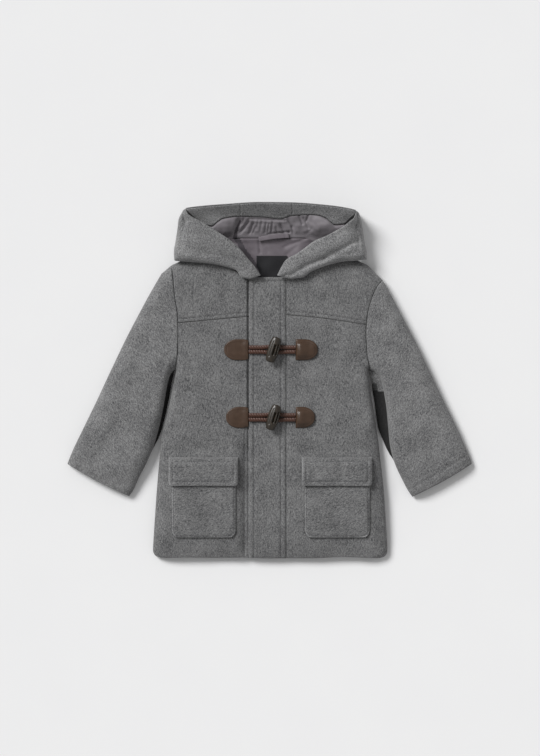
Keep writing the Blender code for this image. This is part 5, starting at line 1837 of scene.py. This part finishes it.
@dataclass
class NeckTrim:
    """Lining over the back neck, the bare woven label and the hanging loop."""

    form: CoatForm
    hood: Hood
    lining: LiningCloth = LiningCloth()
    # Path along the hood's left rim where the neck lining gets painted shade.
    deep_fold: tuple[Point, ...] = ((-46.0, 190.0), (-41.0, 180.5), (-32.0, 166.5), (-23.5, 155.5),
                                    (-15.5, 144.0))
    folds: tuple[Fold, ...] = rows_of(Fold,
        (-46, 188, -15, 142, 4.0, 2.4), (-14, 180.5, -12.7, 166, 1.6, 1.3),
        (-9.5, 176, -2.5, 167, 2.0, 0.7), (-32, 178, -24, 168, 3.5, 0.7), (19, 173.5, 46, 184, 2.2, 1.2),
        (22, 163, 35, 174, 2.4, 0.7), (-26, 152, -12, 138, 3.0, 0.7), (26, 150, 16, 136, 3.0, 0.6),
        (-16, 131, 14, 129, 3.0, 0.5),
    )

    def surface(self, x: Array, y: Array) -> Array:
        """Lining lying on the back and rising to the hood's seam.

        Args:
            x: mm across the coat.
            y: mm up the coat.

        Returns:
            Heights in mm.
        """
        flat = self.form.wall(y) + 2.0 + 2.0 * smooth((y - 150.0) / 35.0) + 1.8 * smooth((y - 177.0) / 7.5)
        relief = fold_depth(x, y, self.folds) - 0.3 * undulation(x, y, 37, 30.0)
        return flat + billow(x, y, PUFFS) * smooth((y - 136.0) / 14.0) - relief

    def neck_lining(self) -> Piece:
        """Smooth lining between the hood and the placket's inside.

        Returns:
            The lining.
        """
        across, upward = cloth_axis(100, 1.4), cloth_axis(64, 1.4)
        y = mix(120.0, 184.6, upward)[:, None]
        spread = mix(0.55, 1.0, smooth((y - 128) / 30)) + 0.1 * smooth((y - 165) / 12)
        x = mix(-52.5, 52.5, across)[None, :] * spread
        plan = np.dstack([x, np.broadcast_to(y, x.shape)])
        return panel("neck_lining", plan, self.surface, lambda x, y: self.form.back_inside(x, y) + LAID_GAP,
                     (Edge.SEAM, Edge.SEAM, Edge.TUCKED, Edge.SEAM))

    def label(self) -> Piece:
        """Black woven label, left bare, with its ends folded under.

        Returns:
            The label.
        """
        across, upward = cloth_axis(39.7, 1.2), cloth_axis(27.9, 1.2)
        x, y = mix(-17.2, 22.5, across)[None, :], mix(134.0, 161.9, upward)[:, None]
        plan = np.dstack(np.broadcast_arrays(x, y))
        top = lambda x, y: self.surface(x, y) + 1.45 + 0.25 * undulation(x, y, 43, 24.0)
        return panel("neck_label", plan, top, lambda x, y: self.surface(x, y) + 0.5, (Edge.TUCKED,) * 4)

    def loop(self) -> Piece:
        """Narrow folded strip sewn down at both ends and bowed clear in the middle.

        Returns:
            The loop.
        """
        start, stop = np.array([-14.4, 183.5]), np.array([24.5, 188.0])
        side = np.array([-(stop - start)[1], (stop - start)[0]]) / np.linalg.norm(stop - start)
        rings = []
        for t in np.linspace(0, 1, 40):
            middle = mix(start, stop, t) + side * 0.8 * math.sin(math.pi * t)
            spots = middle + side * np.linspace(-3.0, 3.0, 7)[:, None]
            on_neck = self.surface(spots[:, 0], np.minimum(spots[:, 1], 184.6))
            on_hood = np.where(spots[:, 1] > 184.8, self.hood.lined(spots[:, 0], spots[:, 1]), 0.0)
            base = float(np.max(np.maximum(on_neck, on_hood))) + 0.6 + 1.6 * math.sin(math.pi * t)
            turn = np.linspace(0, TURN, 28, endpoint=False)
            across, thick = (np.sign(way) * np.abs(way) ** 0.6 for way in (np.cos(turn), np.sin(turn)))
            rings.append(np.column_stack([middle + side * 3.0 * across[:, None], base + 0.65 * thick + 0.65]))
        return solid("hang_loop", np.array(rings))

    def build(self, wardrobe: Wardrobe) -> None:
        """Makes and dresses the lining, label and loop.

        Args:
            wardrobe: dresses the pieces.
        """
        made = self.neck_lining()
        wardrobe.lay(made, self.lining, Slot.LINING)
        # Painted shade under the hood's left rim.
        wardrobe.dress_some(made, PAINTED_CREASE_SHADE, lambda x, y, z: line_distance(x, y, self.deep_fold)
                            < 3.3 + 0.5 * undulation(x, y, 85, 9.0))
        wardrobe.lay(self.label(), LABEL_WEAVE, Slot.LABEL)
        wardrobe.lay(self.loop(), self.lining, Slot.LINING)


@dataclass
class Pocket:
    """One patch pocket with its flap."""

    body: Body
    side: str
    left: float
    right: float
    cloth: WoolFlannel = WoolFlannel(name="pocket flannel", grain=1.2)
    thick: float = 3.0
    bag_bottom: float = -205.0
    bag_top: float = -112.5
    flap_bottom: float = -137.0
    flap_top: float = -99.5
    stitch_inset: float = 5.6          # the flap's sewn line, from its sides and lower edge
    flap_line_drop: float = 6.2        # the same from its top
    bag_inset: float = 2.6             # the bag's sewn line
    bag_left: float = 3.6              # the bag starts this far in from the flap
    bag_right: float = 2.4
    # A lighter copy of the pocket flannel: painted sheen along the turned edges.
    turned: WoolFlannel = WoolFlannel(name="turned edge flannel", grain=1.2, painted_light_factor=1.33)
    painted_sheen_width: float = 2.3           # width of the turned edge band with painted sheen

    @property
    def bag_sides(self) -> tuple[float, float]:
        """Left and right side of the bag."""
        return self.left + self.bag_left, self.right - self.bag_right

    def ground(self, x: Array, y: Array) -> Array:
        """The front that the pocket is sewn on."""
        form = self.body.form
        return form.front(x, y) if self.side == "left" else form.top(x, y)

    def _plan(self, left: float, right: float, bottom: float, top: float, corner: float,
              line: float) -> Array:
        """Rectangle whose lower corners are rounded, with a sewn line inside its edge.

        Args:
            left: the left side.
            right: the right side.
            bottom: the lower edge.
            top: the upper edge.
            corner: radius of the lower corners.
            line: distance of the sewn line from the edge.

        Returns:
            Grid of plan points.
        """
        tall = top - bottom
        y = mix(bottom, top, cloth_axis(tall, 1.8, (line, tall - self.flap_line_drop)))[:, None]
        below = np.clip((bottom + corner - y) / corner, 0, 1)
        inset = 0.96 * corner * (1 - np.sqrt(1 - below ** 2))
        across = cloth_axis(right - left, 1.8, (line, right - left - line))
        x = mix(left + inset, right - inset, across[None, :])
        return np.dstack([x, np.broadcast_to(y, x.shape)])

    def _inner_line(self, left: float, right: float, bottom: float, top: float, inset: float,
                    corner: float) -> tuple:
        """Line that runs down one side, along the bottom and up the other, inside the edge.

        Args:
            left: the left side.
            right: the right side.
            bottom: the lower edge.
            top: the upper edge.
            inset: distance from the edge.
            corner: radius of the lower corners.

        Returns:
            Plan points.
        """
        a, b, c = left + inset, right - inset, bottom + inset
        angles = np.linspace(0, QUARTER, 6)
        turn = [(corner * (1 - math.sin(t)), corner * (1 - math.cos(t))) for t in angles]
        down = [(a + x, c + y) for x, y in turn[::-1]]
        return ((a, top), *down, *[(b - x, c + y) for x, y in turn], (b, top))

    def flap_line(self) -> tuple:
        """Stitched line all round the flap.

        Returns:
            Plan points, the first one again at the end.
        """
        top = self.flap_top - self.flap_line_drop
        line = self._inner_line(self.left, self.right, self.flap_bottom, top, self.stitch_inset, 2.0)
        return (*line, line[0])

    def bag_line(self) -> tuple:
        """Stitched line of the bag."""
        return self._inner_line(*self.bag_sides, self.bag_bottom, self.bag_top, self.bag_inset, 7.8)

    def bag_top_at(self, x: Array, y: Array) -> Array:
        """Outside of the bag.

        Args:
            x: mm across the coat.
            y: mm up the coat.

        Returns:
            Heights in mm.
        """
        left, right = self.bag_sides
        near = np.minimum(x - left, right - x) + 0.5
        swell = 0.35 * undulation(x, y, 47, 36.0) + 0.16 * undulation(x, y, 48, 12.0)
        sunk = SewnLine(self.bag_line(), 0.75, 0.36, 0.2).sunk(x, y)
        relief = 0.8 * dome(near, 12.0) + swell * dome(near, 8.0) - sunk
        return self.ground(x, y) + 0.45 + self.thick + relief

    def _over(self, x: Array, y: Array) -> Array:
        """Underside of the flap, which falls a little at both ends."""
        ends = 1.7 * (1 - dome(np.minimum(x - self.left, self.right - x), 4.5))
        return self.ground(x, y) + 0.6 + (self.thick + 1.7 - ends) * smooth((self.flap_top - y) / 12.0)

    def flap_top_at(self, x: Array, y: Array) -> Array:
        """Outside of the flap.

        Args:
            x: mm across the coat.
            y: mm up the coat.

        Returns:
            Heights in mm.
        """
        swell = 0.3 * undulation(x, y, 53, 30.0) + 0.14 * undulation(x, y, 54, 11.0)
        sunk = SewnLine(self.flap_line(), 0.55, 0.32, 0.35).sunk(x, y)
        below = np.clip(self.flap_top - y, 0, 9)
        seam = 2.3 * (1 - dome(below, 3.4)) * (1 + 0.25 * undulation(x, y, 55, 6.0))
        return self._over(x, y) + self.thick + swell - sunk - seam

    def build(self, wardrobe: Wardrobe) -> None:
        """Makes and dresses the bag and the flap.

        Args:
            wardrobe: dresses the pieces.
        """
        bag = (*self.bag_sides, self.bag_bottom, self.bag_top)
        flap = (self.left, self.right, self.flap_bottom, self.flap_top)
        front, turned = f"front_{self.side}", Edge.TURNED
        for name, box, corner, inset, outside, inside, top_edge, flat, rests_on in (
                ("pocket", bag, 10.4, self.bag_inset, self.bag_top_at, lambda x, y: self.ground(x, y) + 0.45,
                 Edge.TUCKED, (0.083, 0.091), [front]),
                ("pocket_flap", flap, 4.6, self.stitch_inset, self.flap_top_at, self._over,
                 turned, (0.091, 0.038), [f"pocket_{self.side}", front])):
            made = panel(f"{name}_{self.side}", self._plan(*box, corner, inset), outside, inside,
                         (turned, turned, turned, top_edge))
            wardrobe.lay(made, self.cloth, Slot.WOOL)
            # Painted sheen on the turned edge band.
            rim = self._inner_line(*box, 0.0, corner)
            wardrobe.dress_some(made, self.turned,
                                lambda x, y, z: line_distance(x, y, rim) < self.painted_sheen_width)


class Cut(NamedTuple):
    """A cut along the horn: place and width round the barrel, where it starts and stops, and depth."""

    place: float
    width: float
    low: float
    high: float
    depth: float


HORN_CUTS = rows_of(Cut, (0.14, 0.16, -6.0, 5.5, 1.0), (0.66, 0.13, -5.5, 7.5, 1.0),
                    (-0.42, 0.1, -9.0, 10.0, 0.28))


@dataclass
class Fastener:
    """One toggle closure: two leather patches, two doubled cords and the horn toggle between them."""

    body: Body
    name: str
    y: float
    left_from: float
    right_to: float
    leather: GrainedLeather = GrainedLeather()
    cord: TwistedCord = TwistedCord()
    horn: PolishedHorn = PolishedHorn()
    half_height: float = 13.6
    left_edge: float = -27.6
    right_edge: float = 33.6
    thick: float = 1.8
    cord_radius: float = 1.9           # half a strand's height
    cord_half: float = 2.85            # half a strand's width
    strand_offset: float = 2.95        # of each strand from the middle line
    twist: float = 3.4                 # mm between the strands' lobes
    placket_z: float = 22.0            # height of the placket under the cords
    toggle_x: float = 4.7
    toggle_length: float = 34.0
    toggle_ends: Point = (4.6, 3.3)    # half width and half height at the ends
    toggle_belly: Point = (7.5, 5.2)   # and in the middle
    tilt: float = math.radians(17)     # of the toggle, from straight up the coat
    stitch_inset: float = 3.6

    @property
    def cord_z(self) -> float:
        """Height of the cords' middle."""
        return self.placket_z + LAID_GAP + self.cord_radius + 0.35

    def _ends(self, side: str) -> tuple[float, float]:
        """Where a patch starts, at the placket, and how far out it reaches."""
        return (self.left_edge, self.left_from) if side == "left" else (self.right_edge, self.right_to)

    def ground(self, side: str, x: Array, y: Array) -> Array:
        """What a patch is sewn on; the left one bridges the dip beside the placket.

        Args:
            side: left or right.
            x: mm across the coat.
            y: mm up the coat.

        Returns:
            Heights in mm.
        """
        form = self.body.form
        if side == "right":
            return form.top(x, y)
        dip = SINK_SHARE * form.height(y) * 0.3 * smooth((x - SINK_START) / 14.0)
        return np.maximum(form.top(x, y) - dip, form.front(x, y))

    def patch_top(self, side: str, x: Array, y: Array) -> Array:
        """Outside of a patch, raised over the ends of the cord it holds.

        Args:
            side: left or right.
            x: mm across the coat.
            y: mm up the coat.

        Returns:
            Heights in mm.
        """
        straight, far = self._ends(side)
        flat = self.ground(side, x, y) + LAID_GAP + self.thick
        peak, hold = (straight, 0.3) if side == "left" else (straight + 4.2, 1.0)
        near = hold * smooth(1 - np.abs(x - peak) / 15.0) * smooth(1.9 - np.abs(y - self.y) / 7.0)
        middle, reach = 0.5 * (straight + far), 0.5 * abs(far - straight)
        domed = np.clip(1 - ((y - self.y) / self.half_height) ** 2, 0, 1) \
            * np.clip(1 - ((x - middle) / reach) ** 4, 0, 1)
        swell = (0.5 if side == "left" else 3.6) * domed + 0.08 * undulation(x, y, 61, 9.0)
        return np.maximum(flat, mix(flat, self.cord_z + 1.6, near)) + swell

    def _half_round(self, side: str, inset: float, shares: Array) -> tuple[Array, Array]:
        """Half heights of a patch at shares of its length, moved in from its edge.

        Args:
            side: left or right.
            inset: distance from the edge.
            shares: of the patch's length.

        Returns:
            Places across the coat, and half heights there.
        """
        straight, far = self._ends(side)
        way, length = math.copysign(1, far - straight), abs(far - straight)
        reach = mix(inset, length - inset, shares)
        radius = self.half_height - inset
        round_from = length - 1.22 * self.half_height
        turned = np.clip((reach - round_from) / (length - inset - round_from), 0, 1)
        corner = 2.4 * (1 - dome(np.maximum(reach, 0.0), 7.0)) if side == "left" else 0.0
        return straight + way * reach, radius * np.sqrt(np.clip(1 - turned ** 2, 0, 1)) - corner

    def patch(self, side: str) -> Piece:
        """Leather half-round with bevelled edges, straight at the placket.

        Args:
            side: left or right.

        Returns:
            The patch.
        """
        turn = np.linspace(0, 1, 46)
        shares = np.r_[0.0, 0.012, 0.03, np.sin(turn[1:] * QUARTER) * 0.955 + 0.04]
        x, half = self._half_round(side, 0.0, shares)
        across = cloth_axis(2 * self.half_height, 1.0) * 2 - 1
        y = self.y + np.maximum(half, 0.9)[:, None] * across
        plan = np.dstack([np.broadcast_to(x[:, None], y.shape), y])
        from_ends = np.minimum(np.abs(x[-1] - x), np.abs(x - x[0]))[:, None]
        from_edge = np.minimum(half[:, None] * (1 - np.abs(across)), from_ends)
        seam = (0.14 if side == "left" else 0.3) * bell(from_edge - self.stitch_inset, 0.8)
        drop, width = (0.8, 1.6) if side == "left" else (1.2, 2.2)
        bevel = drop * (1 - dome(from_edge, width))
        top = self.patch_top(side, plan[..., 0], plan[..., 1]) - seam - bevel
        low = self.ground(side, plan[..., 0], plan[..., 1]) + LAID_GAP
        return shell(f"patch_{self.name}_{side}", np.dstack([plan, np.maximum(top, low + 0.5)]),
                     np.dstack([plan, low]))

    def stitch_path(self, side: str) -> Array:
        """Stitched line round a patch.

        Args:
            side: left or right.

        Returns:
            Plan points.
        """
        shares = np.r_[0.0, np.sin(np.linspace(0, 1, 30) * QUARTER)]
        x, half = self._half_round(side, self.stitch_inset, shares)
        upper, lower = np.stack([x, self.y + half], -1), np.stack([x, self.y - half], -1)
        start = [[x[0], self.y]]
        return np.concatenate([start, lower, upper[::-1], start])

    def cord_piece(self, name: str, start_x: float, turn_x: float) -> Piece:
        """Doubled twisted cord with its bight under the toggle.

        Args:
            name: the piece's name.
            start_x: where it comes out of the patch.
            turn_x: where its bight turns.

        Returns:
            The cord.
        """
        way = math.copysign(1, turn_x - start_x)
        spread = lambda x: self.strand_offset + 1.1 * np.clip(1 - np.abs(x - self.toggle_x) / 15, 0, 1)
        straight = np.linspace(start_x, turn_x, 90)
        turn = np.linspace(0, math.pi, 46)[1:-1]
        x = np.r_[straight, turn_x + way * self.strand_offset * np.sin(turn), straight[::-1]]
        off = np.r_[-spread(straight), -float(spread(turn_x)) * np.cos(turn), spread(straight[::-1])]
        path = np.column_stack([x, self.y + off, np.full(x.shape, self.cord_z)])
        run = np.r_[0.0, np.cumsum(np.linalg.norm(np.diff(path, axis=0), axis=1))]
        tangent = np.gradient(path, run, axis=0)
        tangent /= np.linalg.norm(tangent, axis=1)[:, None]
        side = np.stack([-tangent[:, 1], tangent[:, 0], 0 * run], -1)
        angle = np.linspace(0, TURN, 20, endpoint=False)
        lobes = np.abs(np.cos(angle[None, :] - run[:, None] * math.pi / self.twist))
        full = 0.66 + 0.34 * lobes[..., None] ** 0.6
        wide = self.cord_half * np.cos(angle)[None, :, None] * side[:, None]
        tall = self.cord_radius * np.sin(angle)[None, :, None] * UPWARD
        return solid(name, path[:, None] + full * (wide + tall))

    @staticmethod
    def _within(along: Array, low: float, high: float) -> Array:
        """1 between two places along the toggle, falling off softly past them."""
        return smooth((along - low) / 2.2 + 1) * smooth((high - along) / 2.2 + 1)

    def toggle(self) -> Piece:
        """Tapered horn barrel, a little flattened, with lengthwise cuts beside the strand that holds it.

        Returns:
            The barrel.
        """
        axis = np.array([math.sin(self.tilt), math.cos(self.tilt), 0])
        side = np.array([axis[1], -axis[0], 0])
        bottom = self.cord_z + self.cord_radius + LAID_GAP
        middle = np.array([self.toggle_x, self.y, bottom + self.toggle_belly[1]])
        share = 0.5 * np.sin(np.linspace(-1, 1, 111) * QUARTER)
        bulge = np.clip(1 - (2 * np.abs(share)) ** 2.2, 0, 1)
        blunt = np.clip((0.5 - np.abs(share)) / 0.05, 0, 1)
        end = np.sqrt(1 - (1 - blunt) ** 2)
        angle = np.linspace(0, TURN, 120, endpoint=False)
        along, place = self.toggle_length * share[:, None], np.cos(angle)[None, :]
        cut = sum(row.depth * bell(place - row.place, row.width) * self._within(along, row.low, row.high)
                  for row in HORN_CUTS)
        cut = np.minimum(1, cut) * np.clip(3 * np.sin(angle), 0, 1)[None, :]
        wide, tall = ((mix(ends, belly, bulge ** 0.8) * end + 0.05)[:, None]
                      for ends, belly in zip(self.toggle_ends, self.toggle_belly))
        width, height = wide * np.ones((1, len(angle))), tall * (1 - 0.6 * cut)
        rings = (middle + axis * along)[:, None] + side * (width * np.cos(angle))[..., None] \
            + UPWARD * (height * np.sin(angle))[..., None]
        return solid(f"toggle_{self.name}", rings)

    def build(self, wardrobe: Wardrobe) -> None:
        """Makes and dresses the closure.

        Args:
            wardrobe: dresses the pieces.
        """
        for side in ("left", "right"):
            wardrobe.lay(self.patch(side), self.leather, Slot.LEATHER)
            thread = stitches(f"patch_thread_{self.name}_{side}", self.stitch_path(side),
                              lambda x, y: self.patch_top(side, x, y) - 0.15, 1.7, 0.7, 0.26)
            wardrobe.sew(thread, LEATHER_THREAD)
        for kind, start, bight in (("loop", self.left_edge + 0.3, self.toggle_x - 6.0),
                                   ("toggle", self.right_edge - 0.3, self.toggle_x + 6.0)):
            wardrobe.lay(self.cord_piece(f"{kind}_cord_{self.name}", start, bight), self.cord, Slot.CORD)
        wardrobe.lay(self.toggle(), self.horn, Slot.HORN)


@dataclass
class Topstitching:
    """Rows of visible sewing on the coat's panels."""

    body: Body
    pockets: Sequence[Pocket]

    def build(self, wardrobe: Wardrobe) -> None:
        """Sews each line on its own panel.

        Args:
            wardrobe: dresses the pieces.
        """
        yokes, placket = self.body.sewn_lines(), self.body.placket_lines()
        shown = [point for point in yokes[0].points if point[0] < PLACKET_LEFT + 1.0]
        rows = [("yoke_thread_left", shown, self.body.front_top),
                ("yoke_thread_right", yokes[1].points, self.body.plain_top),
                ("placket_thread_left", placket[0].points, self.body.placket_face),
                ("placket_thread_right", placket[1].points, self.body.placket_face)]
        for pocket in self.pockets:
            rows += [(f"flap_thread_{pocket.side}", pocket.flap_line(), pocket.flap_top_at),
                     (f"pocket_thread_{pocket.side}", pocket.bag_line(), pocket.bag_top_at)]
        for name, points, surface in rows:
            wardrobe.sew(stitches(name, np.array(points), surface), THREAD)


@dataclass
class Studio:
    """Pale floor, soft light from the upper left and the camera straight above."""

    camera_height: float = 5.0
    frame_tall: float = 0.983          # metres seen from top to bottom, at the coat's middle height
    coat_middle: float = 0.012
    aim: Point = (0.0003, 0.003)
    sensor: float = 36.0               # mm
    floor_half: float = 6.0
    sun_energy: float = 2.85
    sun_wide: float = math.radians(25)
    sun_turn: tuple[float, float, float] = (math.radians(-31), math.radians(-40), 0)
    sky: float = 0.40

    def build(self, wardrobe: Wardrobe) -> None:
        """Lays the floor and sets up light and camera.

        Args:
            wardrobe: dresses the pieces.
        """
        mesh = bpy.data.meshes.new("floor")
        half = self.floor_half
        corners = [(x * half, y * half, -0.0001) for x, y in ((-1, -1), (1, -1), (1, 1), (-1, 1))]
        mesh.from_pydata(corners, [], [[0, 1, 2, 3]])
        floor = bpy.data.objects.new("floor", mesh)
        wardrobe.dress(floor, FLOOR_PAPER)
        sun = bpy.data.objects.new("softbox", bpy.data.lights.new("softbox", "SUN"))
        sun.data.energy, sun.data.angle = self.sun_energy, self.sun_wide
        sun.rotation_euler = self.sun_turn
        world = bpy.data.worlds.new("studio")
        world.use_nodes = True
        sky = world.node_tree.nodes["Background"].inputs
        sky["Color"].default_value, sky["Strength"].default_value = (1.0, 1.0, 1.0, 1.0), self.sky
        lens = bpy.data.cameras.new("camera")
        lens.sensor_width = self.sensor
        lens.lens = self.sensor * (self.camera_height - self.coat_middle) / self.frame_tall
        camera = bpy.data.objects.new("camera", lens)
        camera.location = (*self.aim, self.camera_height)
        for thing in (floor, sun, camera):
            bpy.context.collection.objects.link(thing)
        scene = bpy.context.scene
        scene.world, scene.camera = world, camera
        scene.view_settings.view_transform = "Standard"
        scene.view_settings.look = "None"


def write_sizes() -> None:
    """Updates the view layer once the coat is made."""
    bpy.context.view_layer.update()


def main() -> None:
    """Makes the coat piece by piece and sets the scene."""
    logging.basicConfig(level=logging.INFO, format="%(message)s")
    form, wardrobe = CoatForm(), Wardrobe()
    body = Body(form)
    body.build(wardrobe)
    # Both sleeves' flannel is 1.15 times lighter than the body's: painted light.
    Sleeve(form, "sleeve_left", SLEEVE_LEFT, LEFT, -1, 0.62, (0.280, 0.225),
           WoolFlannel(name="left sleeve flannel", grain=-0.45, painted_light_factor=1.15), 0.045, 10.0).build(wardrobe)
    Sleeve(form, "sleeve_right", SLEEVE_RIGHT, RIGHT, 1, 0.4, (0.280, 0.225),
           WoolFlannel(name="right sleeve flannel", grain=0.45, painted_light_factor=1.15), 0.045).build(wardrobe)
    hood = Hood(body)
    hood.build(wardrobe)
    NeckTrim(form, hood).build(wardrobe)
    pockets = [Pocket(body, "left", -131.3, -41.0), Pocket(body, "right", 41.6, 132.9)]
    for pocket in pockets:
        pocket.build(wardrobe)
    for fastener in (Fastener(body, "upper", 39.7, -59.5, 62.7), Fastener(body, "lower", -48.1, -57.0, 59.0)):
        fastener.build(wardrobe)
    Topstitching(body, pockets).build(wardrobe)
    Studio().build(wardrobe)
    write_sizes()


if __name__ == "__main__":
    main()
